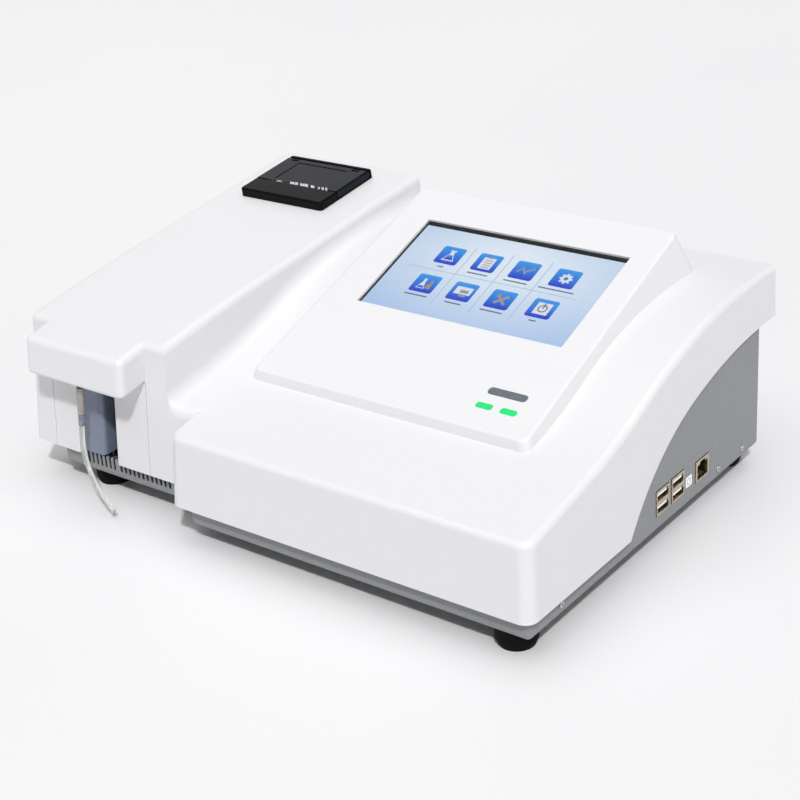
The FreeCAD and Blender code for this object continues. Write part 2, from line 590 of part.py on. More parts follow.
lens_share = 0.42
lens_places = [(g.bar_side, -g.bar_down, g.bar_width, g.bar_depth),
               (g.lens_left_side, -g.lens_down, g.lens_width, g.lens_depth),
               (g.lens_right_side, -g.lens_down, g.lens_width, g.lens_depth)]
wall = g.cover_wall
stack = g.window_lip + g.glass_thick + g.lcd_thick
post_u = g.glass_width/2 + g.lcd_post_radius + g.fit
post_v = g.glass_depth/2 - g.lcd_bracket_edge
post_places = [(a*post_u, b*post_v) for a in (-1, 1) for b in (-1, 1)]
light_low = wall + g.lens_flange_thick
light_boss_u = g.light_board_width/2 - g.light_boss_radius - g.lens_flange
light_boss_v = g.light_board_depth/2 - g.light_boss_radius - g.lens_flange/2
light_places = [(g.bar_side + a*light_boss_u, -g.light_board_centre_down + b*light_boss_v)
                for a, b in ((-1, 1), (1, -1))]
cuts = [plate(0, 0, g.window_width, g.window_depth, -wall*2, wall),
        plate(0, 0, g.glass_width + g.lens_play*2, g.glass_depth + g.lens_play*2, -wall*2, -g.window_lip)]
for u, v, width, depth in lens_places:
    cuts.append(plate(u, v, width, depth, -wall*2, wall, lens_share))
housing = housing.cut([framed(screen_frame, c) for c in cuts])
posts = [Part.makeCylinder(g.lcd_post_radius, stack - wall/2, V(u, v, -stack)) for u, v in post_places]
posts += [Part.makeCylinder(g.light_boss_radius, light_low - wall/2, V(u, v, -light_low)) for u, v in light_places]
posts = [framed(screen_frame, p) for p in posts]

tower_end = side_path(*[tower_path(0.0)[1], g.tower_rise_angle, [
    (g.tower_setback,), (g.tower_crown_radius, g.tower_end_angle - g.tower_rise_angle)]])[1]
printer_x = left + g.printer_side
printer_y = rear - g.printer_rear
rise = math.tan(math.radians(g.tower_end_angle))
printer_frame = FreeCAD.Placement(V(printer_x, printer_y, tower_end[1] + (printer_y - tower_end[0])*rise),
                                  FreeCAD.Rotation(V(1, 0, 0), g.tower_end_angle))
bucket_v0 = -g.bucket_front - g.bucket_wall
bucket_v1 = g.bucket_rear + g.bucket_wall
mouth = box_of(-g.bucket_width/2 - g.fit, g.bucket_width/2 + g.fit, bucket_v0 - g.fit, bucket_v1 + g.fit,
               -wall*3, wall)
housing = housing.cut(framed(printer_frame, mouth))

tray_floor = g.foot_height + g.sheet_gauge
foot_right_x = right - g.foot_right_inset
foot_front_y = front + g.foot_front_inset
foot_rear_y = rear - g.foot_rear_inset
boss_places = [(foot_right_x, foot_front_y), (right - g.foot_right_rear_inset, foot_rear_y),
               (main_left + g.boss_side, foot_front_y), (main_left + g.boss_rear_side, foot_rear_y - g.boss_rear_shift)]
bosses = [Part.makeCylinder(g.boss_radius, g.cover_depth, V(x, y, tray_floor)).common(outside)
          for x, y in boss_places]
housing = housing.fuse(posts + bosses).removeSplitter()
holes = [Part.makeCylinder(g.boss_core_radius, g.boss_core_depth, V(x, y, tray_floor)) for x, y in boss_places]
holes += [framed(screen_frame, Part.makeCylinder(g.lcd_post_hole_radius, stack - wall, V(u, v, -stack)))
          for u, v in post_places]

# Sipper under the nose: black cap through the nose's floor, sleeve, clear joint; the tube hangs from it
sipper_x = left + g.nose_inset + g.sipper_inset
sipper_y = nose_front + g.sipper_back
lean = g.sleeve_lean/(g.cap_top - g.sleeve_low)
sip_top = V(sipper_x, sipper_y, skirt + g.cap_top)
sip_mid = V(sipper_x - lean*(g.cap_top - g.cap_low), sipper_y, skirt + g.cap_low)
sip_low = V(sipper_x - g.sleeve_lean, sipper_y, skirt + g.sleeve_low)
sip_end = V(sip_low.x - g.joint_lean, sipper_y, skirt + g.joint_low)
down = (sip_low - sip_top).normalize()
hole = between(sip_top, sip_mid, g.cap_radius + g.fit)
housing = housing.cut([hole] + holes)
formed("main_cover", housing)


def piped(a, b, radius, bore):
    ahead = (b - a).normalize()*g.cut_over
    return between(a, b, radius).cut(between(a - ahead, b + ahead, bore))


flange_at = sip_top - down*g.cap_flange
cap = between(flange_at, sip_mid, g.cap_radius).fuse(between(flange_at, sip_top, g.cap_flange_radius))
formed("sipper_cap", cap.cut(between(flange_at - down, sip_mid + down, g.sipper_bore_radius)))
formed("sipper_sleeve", piped(sip_mid, sip_low, g.sleeve_radius, g.sipper_bore_radius))


def tube(points, radius, bend, label):
    # straight runs joined by tangent arcs, each as large as its runs allow up to bend
    points = [V(*p) for p in points]
    edges, at, radii, length = [], points[0], [], 0.0
    for a, b, c in zip(points, points[1:], points[2:]):
        into, out = (b - a).normalize(), (c - b).normalize()
        half_turn = into.getAngle(out)/2
        shorter = min((b - a).Length, (c - b).Length)
        arc = min(bend, 0.45*shorter/math.tan(half_turn))
        step = arc*math.tan(half_turn)
        radii.append(arc)
        p, q = b - into*step, b + out*step
        crown = b + (out - into).normalize()*(arc/math.cos(half_turn) - arc)
        edges.append(Part.LineSegment(at, p).toShape())
        edges.append(Part.Arc(p, crown, q).toShape())
        at = q
    edges.append(Part.LineSegment(at, points[-1]).toShape())
    spine = Part.Wire(edges)
    start = points[0]
    ring = Part.Wire([Part.Circle(start, points[1] - start, radius).toShape()])
    solid = spine.makePipeShell([ring], True, False)
    wanted = math.pi*radius*radius*spine.Length
    print(label, "length %.1f" % spine.Length, "radii", [round(r, 1) for r in radii],
          "volume share %.4f" % (solid.Volume/wanted))
    return solid


SIPPER_ROUTE = [(-142.2, -128.3, 43.2), (-140.7, -130, 34.5), (-136.9, -132, 26.7),
                (-130.5, -134.5, 19), (-121.5, -137.5, 12.4), (-107.9, -141, 6.1)]
hanging = tube([tuple(sip_end)] + SIPPER_ROUTE, g.inner_tube_radius, g.cover_depth, "sipper_tube")
formed("sipper_joint", piped(sip_low, sip_end, g.joint_radius, g.sipper_bore_radius).cut(
    [between(sip_mid, sip_low, g.sleeve_radius), hanging]))
formed("sipper_tube", hanging)


# Base tray: bent sheet with a stepped front, vent slots, a comb behind the key and an arched right wall
half_width = g.cover_width/2
half_depth = g.cover_depth/2
pan = doc.addObject("PartDesign::Body", "Pan")
x0, x1 = -half_width + g.base_left_inset, half_width - g.base_right_inset
xs = half_width - g.main_width + g.base_step_inset
y0, y1 = -half_depth + g.base_front_inset, half_depth - g.base_rear_inset
ys = y0 + g.base_step_setback
outline = [(xs, y0), (x1, y0), (x1, y1), (x0, y1), (x0, ys), (xs, ys)]
w = g.sheet_gauge
lining = [(xs + w, y0 + w), (x1 - w, y0 + w), (x1 - w, y1 - w), (x0 + w, y1 - w), (x0 + w, ys + w), (xs + w, ys + w)]
wall_pad = padded(pan, "PanPad", sketched(pan, "PanOutline", "XY_Plane", [outline]), g.tray_height)
doc.recompute()
chosen = []
for number, edge in enumerate(wall_pad.Shape.Edges, 1):
    centre = edge.CenterOfMass
    corner = upright(edge) and centre.y < -half_depth/2 and abs(centre.x - xs - w) > w + g.fit
    if abs(centre.z) < g.fit or corner or (upright(edge) and centre.y < y0 + g.fit):
        chosen.append("Edge%d" % number)
bends = pan.newObject("PartDesign::Fillet", "PanBends")
bends.Base = (wall_pad, chosen)
bends.setExpression("Radius", g.bend_radius.text)
hollow = pocketed(pan, "PanHollow", sketched(pan, "PanLining", "XY_Plane", [lining], w), g.tray_height, True)
vent_sketch = {}
for name, first, count in (("Left", g.vent_first, g.vent_left_count), ("Right", g.vent_second, g.vent_right_count)):
    vx = -half_width + first
    slot = [(vx, g.vent_low), (vx + g.vent_width, g.vent_low), (vx + g.vent_width, g.vent_low + g.vent_height),
            (vx, g.vent_low + g.vent_height)]
    sketch = sketched(pan, "Vent" + name, "XZ_Plane", [slot], -ys + g.cut_over)
    slot_cut = pocketed(pan, "VentCut" + name, sketch, w + g.cut_over*2)
    row = pan.newObject("PartDesign::LinearPattern", "VentRow" + name)
    row.Originals = [slot_cut]
    row.Direction = (sketch, ["H_Axis"])
    row.setExpression("Length", (g.vent_pitch*(count - 1)).text)
    row.setExpression("Occurrences", count.text)
    pan.Tip = row
notch_side = g.slip*2 + g.bracket_wall + g.fit
notch_x0 = -half_width + g.nose_inset + g.channel_inset - notch_side
notch_x1 = notch_x0 + g.channel_width + notch_side*2
notch_low = g.tray_height - g.key_notch_drop
notch = [(notch_x0, notch_low), (notch_x1, notch_low), (notch_x1, g.tray_height + g.cut_over),
         (notch_x0, g.tray_height + g.cut_over)]
pocketed(pan, "KeyNotch", sketched(pan, "KeyNotchOutline", "XZ_Plane", [notch], -ys + g.cut_over), w + g.cut_over*2)
pan.setExpression(".Placement.Base.z", g.foot_height.text)
wall_low = g.foot_height + g.bend_radius
arch_wall = arch_form(g.arch_lap, wall_low, base_right - g.sheet_gauge, base_right)
arch_wall = arch_wall.common(box_of(0, right, base_front + g.bend_radius, base_rear, wall_low, g.cover_depth))
wall_piece = copy_of("ArchWall", arch_wall)
board_top_z = g.foot_height + w + g.spacer_height + g.board_gauge
usb_y = [y0 + g.usb_front, y0 + g.usb_front + g.usb_pitch]
net_y = y0 + g.net_front
p = g.port_play
port_cuts = [block("PortCutA", (x1 - w*2, y - p, board_top_z - p), (w*4, g.usb_width + p*2, g.usb_height + p*2))
             for y in usb_y]
port_cuts.append(block("PortCutNet", (x1 - w*2, net_y - p, board_top_z - p),
                       (w*4, g.net_width + p*2, g.net_height + p*2)))
wall_screw_y = [y0 + g.wall_screw_front, y0 + g.wall_screw_middle, y0 + g.wall_screw_rear]
screw_z = g.wall_screw_low
port_cuts += [rod("WallHole", (x1 - w*2, y, screw_z), g.side_screw_radius + g.slip, w*4, "X") for y in wall_screw_y]
foot_at = [(half_width - g.foot_right_inset, -half_depth + g.foot_front_inset),
           (-half_width + g.foot_left_inset, -half_depth + g.foot_left_front_inset),
           (half_width - g.foot_right_rear_inset, half_depth - g.foot_rear_inset),
           (-half_width + g.foot_left_inset, half_depth - g.foot_rear_inset)]
extra_at = [(half_width - g.main_width + g.boss_side, -half_depth + g.foot_front_inset),
            (half_width - g.main_width + g.boss_rear_side, half_depth - g.foot_rear_inset - g.boss_rear_shift)]
port_cuts += [rod("FloorHole", (x, y, g.foot_height - w), g.foot_screw_radius + g.fit, w*4) for x, y in foot_at]
port_cuts += [rod("FloorHole", (x, y, g.foot_height - w), g.wall_screw_radius + g.fit, w*4) for x, y in extra_at]
panel_pitch = (x1 - x0 - g.panel_screw_first*2)/(g.panel_screw_count - 1)
panel_screw_at = [x0 + g.panel_screw_first + panel_pitch*i for i in range(int(g.panel_screw_count))]
port_cuts += [rod("PanelHole", (x, y1 - w*2, g.panel_screw_level), g.wall_screw_radius + g.slip, w*4, "Y")
              for x in panel_screw_at]
node("base_tray", cut("Tray", fused("TrayBlank", pan, wall_piece), *port_cuts))

# Rear panel inside the tray's rear wall, with the openings of its fittings
rear_body = doc.addObject("PartDesign::Body", "RearSheet")
step_z = g.foot_height + g.tray_height + g.cut_over
xp0, xp1 = -half_width + g.panel_left_gap, x1 - w - g.fit
low = g.foot_height + w
rear_outline = [(x0 + w + g.fit, low), (xp1, low), (xp1, g.panel_top), (xp0, g.panel_top), (xp0, step_z),
                (x0 + w + g.fit, step_z)]
fit_z = g.fitting_level
inlet_x = x1 - g.inlet_inset
rocker_x = inlet_x - g.rocker_pitch


def oblong(x, z, width, height):
    return [(x - width/2, z - height/2), (x + width/2, z - height/2), (x + width/2, z + height/2),
            (x - width/2, z + height/2)]


fan_holes = [(a*g.fan_hole_spacing/2, g.fan_level + b*g.fan_hole_spacing/2, g.fan_screw_radius + g.slip)
             for a in (-1, 1) for b in (-1, 1)]
openings = [oblong(inlet_x, fit_z, g.inlet_body_width + p, g.inlet_body_height + p),
            oblong(rocker_x, fit_z, g.rocker_body_width + p, g.rocker_body_height + p),
            (g.fan_level*0, g.fan_level, g.fan_blade_radius), (-g.waste_side, g.waste_level, g.barb_radius + p)]
openings += fan_holes
openings += [(inlet_x + a*g.inlet_screw_spacing/2, fit_z, g.inlet_screw_radius + g.slip) for a in (-1, 1)]
openings += [(x, g.panel_screw_level, g.wall_screw_radius + g.slip) for x in panel_screw_at]
sheet_pad = padded(rear_body, "RearPad", sketched(rear_body, "RearOutline", "XZ_Plane", [rear_outline]), w)
pocketed(rear_body, "RearOpenings",
         sketched(rear_body, "RearOpeningOutlines", "XZ_Plane", openings, w + g.cut_over), w + g.cut_over*2)
panel_y = y1 - w
rear_body.setExpression(".Placement.Base.y", panel_y.text)
node("rear_panel", rear_body)

# Feet, turned, with a sunk screw each; two of the screws end in the cover's bosses
r = g.foot_radius
feet_profile = [(g.foot_screw_radius + g.fit, g.foot_bore_depth), (g.foot_bore_radius, g.foot_bore_depth),
                (g.foot_bore_radius, g.foot_height*0), (g.foot_low_radius, g.foot_height*0),
                (r, g.foot_round*2), (r, g.foot_height), (g.foot_screw_radius + g.fit, g.foot_height)]
foot = doc.addObject("PartDesign::Body", "TurnedFoot")
foot_sketch = sketched(foot, "FootProfile", "XZ_Plane", [feet_profile])
turned = foot.newObject("PartDesign::Revolution", "FootTurn")
turned.Profile = foot_sketch
turned.ReferenceAxis = (foot_sketch, ["V_Axis"])
turned.Angle = 360
doc.recompute()
four_feet = []
for fx, fy in foot_at:
    each = foot.Shape.copy()
    each.translate(V(fx, fy, 0))
    four_feet.append(each)
formed("feet", compound_of(four_feet))


def screw(at, direction, radius, length, head_radius, head):
    # a pan-head screw whose head's underside is at a point; the shank runs along direction
    along = V(*direction)
    cap_end = at - along*head
    knob = Part.makeCylinder(head_radius, head, cap_end, along)
    knob = knob.makeFillet(head/2.5, [e for e in knob.Edges if len(e.Vertexes) == 1 and (e.CenterOfMass - cap_end).Length < head/2])
    return knob.fuse(Part.makeCylinder(radius, length, at, along)).removeSplitter()


def nut(at, direction, radius, height, bore):
    ring = Part.makePolygon([V(radius*math.cos(math.pi/3*i), radius*math.sin(math.pi/3*i), 0) for i in range(7)])
    solid = Part.Face(Part.Wire(ring)).extrude(V(0, 0, height)).cut(Part.makeCylinder(bore, height))
    solid.Placement = FreeCAD.Placement(at, FreeCAD.Rotation(V(0, 0, 1), V(*direction)))
    return solid


up = (0, 0, 1)
foot_screws = [screw(V(x, y, g.foot_bore_depth), up, g.boss_core_radius - g.slip, g.foot_screw_length,
                     g.foot_screw_head_radius, g.foot_screw_head) for x, y in foot_at]
foot_nuts = [nut(V(foot_at[i][0], foot_at[i][1], tray_floor), up, g.foot_nut_radius, g.foot_nut_height,
                 g.boss_core_radius) for i in (1, 3)]
screws = foot_screws + [screw(V(x, y, g.foot_height), up, g.wall_screw_radius - g.slip, g.boss_core_depth - g.foot_screw_head,
                g.wall_screw_head_radius, g.wall_screw_head) for x, y in extra_at]
screws += [screw(V(base_right, y, screw_z), (-1, 0, 0), g.side_screw_radius, w + g.side_nut_height,
                 g.side_screw_head_radius, g.side_screw_head) for y in wall_screw_y]
side_nuts = [nut(V(base_right - w, y, screw_z), (-1, 0, 0), g.side_nut_radius, g.side_nut_height,
                 g.side_screw_radius + g.slip/2) for y in wall_screw_y]
screws += [screw(V(x, y1, g.panel_screw_level), (0, -1, 0), g.wall_screw_radius, w*4, g.wall_screw_head_radius,
                 g.wall_screw_head) for x in panel_screw_at]

# Front panel of the tower: flush with the cover round it, flange behind, channel open at the bottom


def leaning(near, far, xa, xb, za, zb):
    # the layer between two depths behind the tower's front face
    point, normal = tower_face
    back = tuple(-q for q in normal)
    body = box_of(xa, xb, front, rear, za, zb)
    return body.cut(half(point, normal, near)).cut(half(point, back, -far))


seam = g.panel_seam
panel_x0, panel_x1 = nose_left + seam, nose_right - seam
panel_z1 = skirt + g.front_panel_top
flange_far = g.front_panel_wall + g.front_panel_flange
face = leaning(0, g.front_panel_wall + g.lens_play, panel_x0, panel_x1, skirt, nose_level*2)
face = face.cut(half((0, nose_front, nose_level), (0, -g.nose_bottom_rise_share, 1), seam))
back_flange = leaning(g.cover_wall + g.slip, flange_far, panel_x0 - g.front_panel_lap, panel_x1 + g.front_panel_lap,
                      g.foot_height + g.tray_height + g.fit, panel_z1)
channel_left = nose_left + g.channel_inset
channel = box_of(channel_left, channel_left + g.channel_width, front, rear, -skirt, skirt + g.channel_top)
formed("front_panel", face.fuse(back_flange).cut(channel).removeSplitter())

# Push key in the channel, hollow behind, on a pin between the cheeks of a black bracket
key_left = channel_left + g.key_gap
key_z0 = skirt + g.key_low
key_z1 = key_z0 + g.key_height
pin_z = key_z1 - g.key_pin_drop
pin_y = tower_front + g.key_recess + g.key_pin_back
key_back = tower_front + g.key_recess + g.key_depth + g.key_wall
shell = leaning(g.key_recess, g.cover_depth, key_left, key_left + g.key_width, key_z0, key_z1)
shell = shell.common(box_of(left, 0, front, key_back, 0, g.cover_depth))
shell = rounded(shell, g.key_edge_radius,
                lambda e: upright(e) and e.CenterOfMass.x > key_left + g.key_wall and e.CenterOfMass.y < key_back - g.key_wall)
core = leaning(g.key_recess + g.key_wall, g.cover_depth, key_left + g.key_wall,
               key_left + g.key_width - g.key_wall, key_z0 + g.key_wall, key_z1 - g.key_wall)
core = rounded(core, g.key_edge_radius - g.key_wall,
               lambda e: upright(e) and e.CenterOfMass.x > key_left + g.key_wall*2 and e.CenterOfMass.y < key_back)
pin_at = V(channel_left - g.bracket_wall - g.fit, pin_y, pin_z)
pin_length = g.channel_width + g.bracket_wall*2 + g.fit*2
bore = Part.makeCylinder(g.key_pin_radius + g.slip, pin_length*2, pin_at - V(pin_length/2, 0, 0), V(1, 0, 0))
bracket_back = tower_front + g.bracket_depth + g.bracket_wall
switch_back = bracket_back - g.bracket_wall
switch_x = key_left + (g.key_width - g.key_switch_width)/2
switch_z = skirt + g.key_switch_level
plunger_at = V(switch_x + g.key_switch_width/3, switch_back - g.key_switch_depth, switch_z + g.key_switch_height/2)
rib_end = plunger_at.y - g.key_plunger/2 - g.key_travel
rib = box_of(plunger_at.x - g.key_plunger, plunger_at.x + g.key_plunger, front, rib_end,
             plunger_at.z - g.key_plunger, plunger_at.z + g.key_plunger).common(shell)
formed("sampler_key", shell.cut(core).fuse(rib).cut(bore).removeSplitter())
cheek0 = channel_left - g.slip*2
cheek1 = channel_left + g.channel_width + g.slip*2
bracket_z0, bracket_z1 = skirt + g.bracket_low, skirt + g.bracket_top
body = leaning(flange_far, g.cover_depth, cheek0 - g.bracket_wall, cheek1 + g.bracket_wall, bracket_z0, bracket_z1)
body = body.common(box_of(left, 0, front, bracket_back, 0, g.cover_depth))
body = body.cut(box_of(cheek0, cheek1, front, bracket_back - g.bracket_wall, 0, bracket_z1 - g.bracket_wall))
ears = leaning(flange_far, flange_far + g.bracket_wall, cheek0 - g.bracket_ear, cheek1 + g.bracket_ear,
               g.foot_height + g.tray_height + g.fit, bracket_z1)
ears = ears.cut(box_of(cheek0, cheek1, front, rear, 0, bracket_z1 - g.bracket_wall))
tight = Part.makeCylinder(g.key_pin_radius, pin_length*2, pin_at - V(pin_length/2, 0, 0), V(1, 0, 0))
formed("key_bracket", body.fuse(ears).cut(tight).removeSplitter())
formed("key_pivot_pin", Part.makeCylinder(g.key_pin_radius, pin_length, pin_at, V(1, 0, 0)))
spring_x = key_left + g.key_width + g.fit
coil = Part.makeCylinder(g.key_spring_radius, g.key_spring_width, V(spring_x, pin_y, pin_z), V(1, 0, 0))
eye = Part.makeCylinder(g.key_pin_radius + g.lens_play, g.key_spring_width, V(spring_x, pin_y, pin_z), V(1, 0, 0))
formed("key_spring", coil.cut(eye))
micro = box_of(switch_x, switch_x + g.key_switch_width, switch_back - g.key_switch_depth, switch_back, switch_z,
               switch_z + g.key_switch_height)
plunger = Part.makeCylinder(g.key_plunger/2, g.key_plunger/2, plunger_at, V(0, -1, 0))
formed("key_switch", micro.fuse(plunger).removeSplitter())

# Touch screen: glass behind the window, display under it, bracket on the cover's posts
play = g.lens_play
formed("touch_glass", plate(0, 0, g.glass_width, g.glass_depth, -g.window_lip - g.glass_thick, -g.window_lip), screen_frame)
formed("lcd_panel", plate(0, 0, g.glass_width - g.lcd_edge, g.glass_depth - g.lcd_edge, -stack, -g.window_lip - g.glass_thick),
       screen_frame)
frame_plate = plate(0, 0, g.glass_width + g.lcd_bracket_edge*2, g.glass_depth, -stack - g.lcd_bracket_gauge, -stack)
frame_plate = frame_plate.cut([plate(0, 0, g.glass_width - g.lcd_window_inset, g.glass_depth - g.lcd_window_inset,
                                     -stack*2, 0)] +
                              [Part.makeCylinder(g.lcd_post_hole_radius + play, stack*2, V(u, v, -stack*2))
                               for u, v in post_places])
formed("lcd_bracket", frame_plate, screen_frame)
screws += [framed(screen_frame, screw(V(u, v, -stack - g.lcd_bracket_gauge), up, g.lcd_post_hole_radius, stack/2,
                                      g.lcd_post_radius, g.lcd_bracket_gauge)) for u, v in post_places]


def lens(u, v, width, depth):
    top = plate(u, v, width - play*2, depth - play*2, -wall, g.lens_proud, lens_share)
    flange = plate(u, v, width + g.lens_flange*2, depth + g.lens_flange*2 - play*2, -light_low, -wall)
    return top.fuse(flange).removeSplitter()


formed("indicator_bar", lens(*lens_places[0]), screen_frame)
formed("indicator_lenses", compound_of([lens(*lens_places[1]), lens(*lens_places[2])]), screen_frame)
formed("indicator_board", plate(g.bar_side, -g.light_board_centre_down, g.light_board_width, g.light_board_depth,
                                -light_low - g.board_gauge, -light_low), screen_frame)

# Panel printer on the tower: bezel with its bucket, hinged lid with the platen, roll, print head, tear bar
bw, bd = g.bezel_width, g.bezel_depth
v_front, v_rear = -bd/2, bd/2
strip_v = v_front + g.strip_depth
bezel = box_of(-bw/2, bw/2, v_front, v_rear, 0, g.bezel_low)
strip = box_of(-bw/2, bw/2, v_front, strip_v, 0, g.bezel_high)
rear_strip = box_of(-bw/2, bw/2, v_rear - g.rear_strip_depth, v_rear, 0, g.bezel_high)
bezel = bezel.fuse([strip, rear_strip]).removeSplitter()
bezel = rounded(bezel, g.bezel_radius,
                lambda e: upright(e) and abs(abs(e.CenterOfMass.x) - bw/2) < play and abs(abs(e.CenterOfMass.y) - bd/2) < play)
well_u = g.bucket_width/2 - g.bucket_wall
wells = [box_of(-well_u, well_u, -g.bucket_front, g.bucket_rear, -g.bucket_depth + g.bucket_wall, 0),
         box_of(-well_u, well_u, -g.bucket_front, g.deck_rear, -g.bucket_wall, g.bezel_high*2)]
bucket = box_of(-g.bucket_width/2, g.bucket_width/2, bucket_v0, bucket_v1, -g.bucket_depth, 0)
lid_low = g.bezel_low + g.lid_gap
lid_high = g.bezel_high + g.lens_proud
hinge_round = (lid_high - lid_low)/2
pin_v = v_rear - g.rear_strip_depth - g.hinge_gap - hinge_round
pin_n = lid_low + hinge_round
pin_span = g.lid_lug_outer*2


def about_pin(radius, u0, u1):
    return Part.makeCylinder(radius, u1 - u0, V(u0, pin_v, pin_n), V(1, 0, 0))


lug_spans = [(g.lid_lug_inner, g.lid_lug_outer), (-g.lid_lug_outer, -g.lid_lug_inner)]
lugs = [about_pin(hinge_round - play, u0, u1).fuse(
    box_of(u0, u1, pin_v - hinge_round + play, pin_v + hinge_round - play, g.bezel_low/2, pin_n)) for u0, u1 in lug_spans]
rounded_top = rounded(bezel.fuse(bucket).removeSplitter(), g.lid_wall,
                      lambda e: abs(e.CenterOfMass.z - g.bezel_high) < play
                      and abs(e.CenterOfMass.y) > v_rear - g.bezel_radius)
rounded_top = rounded_top.cut(wells).fuse(lugs).removeSplitter()
formed("printer_bezel", rounded_top.cut(about_pin(g.lid_pin_radius, -pin_span, pin_span)), printer_frame)
formed("lid_pin", about_pin(g.lid_pin_radius, -g.lid_lug_outer, g.lid_lug_outer), printer_frame)
lid_v0 = -g.lid_front
side_view = [Part.LineSegment(V(0, pin_v, lid_low), V(0, lid_v0, lid_low)),
             Part.LineSegment(V(0, lid_v0, lid_low), V(0, lid_v0, lid_high)),
             Part.LineSegment(V(0, lid_v0, lid_high), V(0, pin_v, lid_high)),
             Part.Arc(V(0, pin_v, lid_high), V(0, pin_v + hinge_round, pin_n), V(0, pin_v, lid_low))]
cover_lid = Part.Face(Part.Wire([piece.toShape() for piece in side_view])).extrude(V(bw, 0, 0))
cover_lid.translate(V(-bw/2, 0, 0))
rim = box_of(-bw/2, bw/2, lid_v0 - play, v_rear, lid_low - play, lid_high)
rim = rounded(rim, g.lid_wall, lambda e: e.BoundBox.YLength > bw/2 and abs(e.CenterOfMass.z - lid_high) < play)
cover_lid = cover_lid.common(rim)
hollow_lid = box_of(-bw/2 + g.lid_wall*2, bw/2 - g.lid_wall*2, lid_v0 + g.lid_wall, pin_v - g.lid_wall - g.lid_pin_radius,
                    lid_low - g.lid_wall, lid_high - g.lid_wall)
notches = [box_of(u0 - g.lid_gap, u1 + g.lid_gap, pin_v - hinge_round - g.lid_gap, v_rear, lid_low - play, lid_high + play)
           for u0, u1 in lug_spans]
ears = [box_of(a*g.lid_ear_side - (g.lid_ear_width if a < 0 else 0), a*g.lid_ear_side + (g.lid_ear_width if a > 0 else 0),
               -g.platen_back - g.lid_ear_depth/2, -g.platen_back + g.lid_ear_depth/2,
               -g.platen_drop - g.platen_shaft_radius*2, lid_high - g.lid_wall/2) for a in (-1, 1)]
ears = [rounded(e, g.platen_shaft_radius, lambda q: abs(q.CenterOfMass.z + g.platen_drop + g.platen_shaft_radius*2) < play
                and abs(q.CenterOfMass.x) > g.lid_ear_side + play and abs(q.CenterOfMass.x) < g.lid_ear_side + g.lid_ear_width - play)
        for e in ears]
shaft_bore = Part.makeCylinder(g.platen_shaft_radius + g.slip, bw, V(-bw/2, -g.platen_back, -g.platen_drop), V(1, 0, 0))
pin_bore = about_pin(g.lid_pin_radius + g.slip, -pin_span/2 - g.lid_gap, pin_span/2 + g.lid_gap)
sink = box_of(-g.lid_window_width/2, g.lid_window_width/2, lid_v0 + g.lid_wall*2, lid_v0 + g.lid_wall*2 + g.lid_window_depth,
              lid_high - g.lid_window_sink, lid_high + g.lid_wall)
cover_lid = cover_lid.cut(hollow_lid).fuse(ears).cut([shaft_bore, pin_bore, sink] + notches).removeSplitter()
formed("printer_lid", cover_lid, printer_frame)
ear_gap = g.lid_gap
platen = Part.makeCylinder(g.platen_radius, g.platen_length, V(-g.platen_length/2, -g.platen_back, -g.platen_drop), V(1, 0, 0))
axle_half = g.lid_ear_side + g.lid_ear_width
axle = Part.makeCylinder(g.platen_shaft_radius, axle_half*2, V(-axle_half, -g.platen_back, -g.platen_drop), V(1, 0, 0))
formed("platen_roller", platen.fuse(axle).removeSplitter(), printer_frame)
roll_n = -g.bucket_depth + g.bucket_wall + g.fit + g.roll_radius
roll = Part.makeCylinder(g.roll_radius, g.roll_width, V(-g.roll_width/2, g.roll_back, roll_n), V(1, 0, 0))
tube_core = Part.makeCylinder(g.roll_core_radius, g.roll_width, V(-g.roll_width/2, g.roll_back, roll_n), V(1, 0, 0))
formed("paper_roll", roll.cut(tube_core), printer_frame)
head_v = -g.bucket_front
formed("print_head", box_of(-g.head_width/2, g.head_width/2, head_v, head_v + g.head_depth,
                            -g.head_drop - g.head_height, -g.head_drop), printer_frame)
teeth_share = [(0, 0), (0.5, 1), (1, 0)]
count = int(g.head_width/g.tear_tooth)
top_n = g.bezel_high - g.tear_tooth_depth
ridge = [V(-count*g.tear_tooth/2, strip_v, top_n - g.tear_height)]
for i in range(count):
    for a, b in teeth_share[:2]:
        ridge.append(V((i + a - count/2)*g.tear_tooth, strip_v, top_n + b*g.tear_tooth_depth))
ridge += [V(count*g.tear_tooth/2, strip_v, top_n), V(count*g.tear_tooth/2, strip_v, top_n - g.tear_height), ridge[0]]
saw = Part.Face(Part.makePolygon(ridge)).extrude(V(0, g.tear_thick, 0))
formed("tear_bar", saw, printer_frame)

# Main board on spacers, with the sockets that show in the right wall
bx1 = base_right - w - g.side_nut_height - g.board_right_gap
bx0 = bx1 - g.board_width
by0 = base_front + g.board_front
by1 = by0 + g.board_depth
board_low = tray_floor + g.spacer_height
board_top = board_low + g.board_gauge
inset = g.board_hole_inset
board_holes = [(x, y) for x in (bx0 + inset, bx1 - inset) for y in (by0 + inset, by1 - inset)]
board = box_of(bx0, bx1, by0, by1, board_low, board_top)
board = board.cut([Part.makeCylinder(g.board_screw_radius + g.slip, g.spacer_height, V(x, y, board_low - g.board_gauge))
                   for x, y in board_holes])
chip = box_of(bx0 + g.board_width/3, bx0 + g.board_width/3 + g.chip_size, by0 + g.board_depth/2,
              by0 + g.board_depth/2 + g.chip_size, board_top, board_top + g.chip_height)
header = box_of(bx0 + g.board_width/4, bx0 + g.board_width/4 + g.connector_width, by0 + inset*2,
                by0 + inset*2 + g.connector_depth, board_top, board_top + g.connector_height)
formed("main_board", board.fuse([chip, header]).removeSplitter())
spacers = []
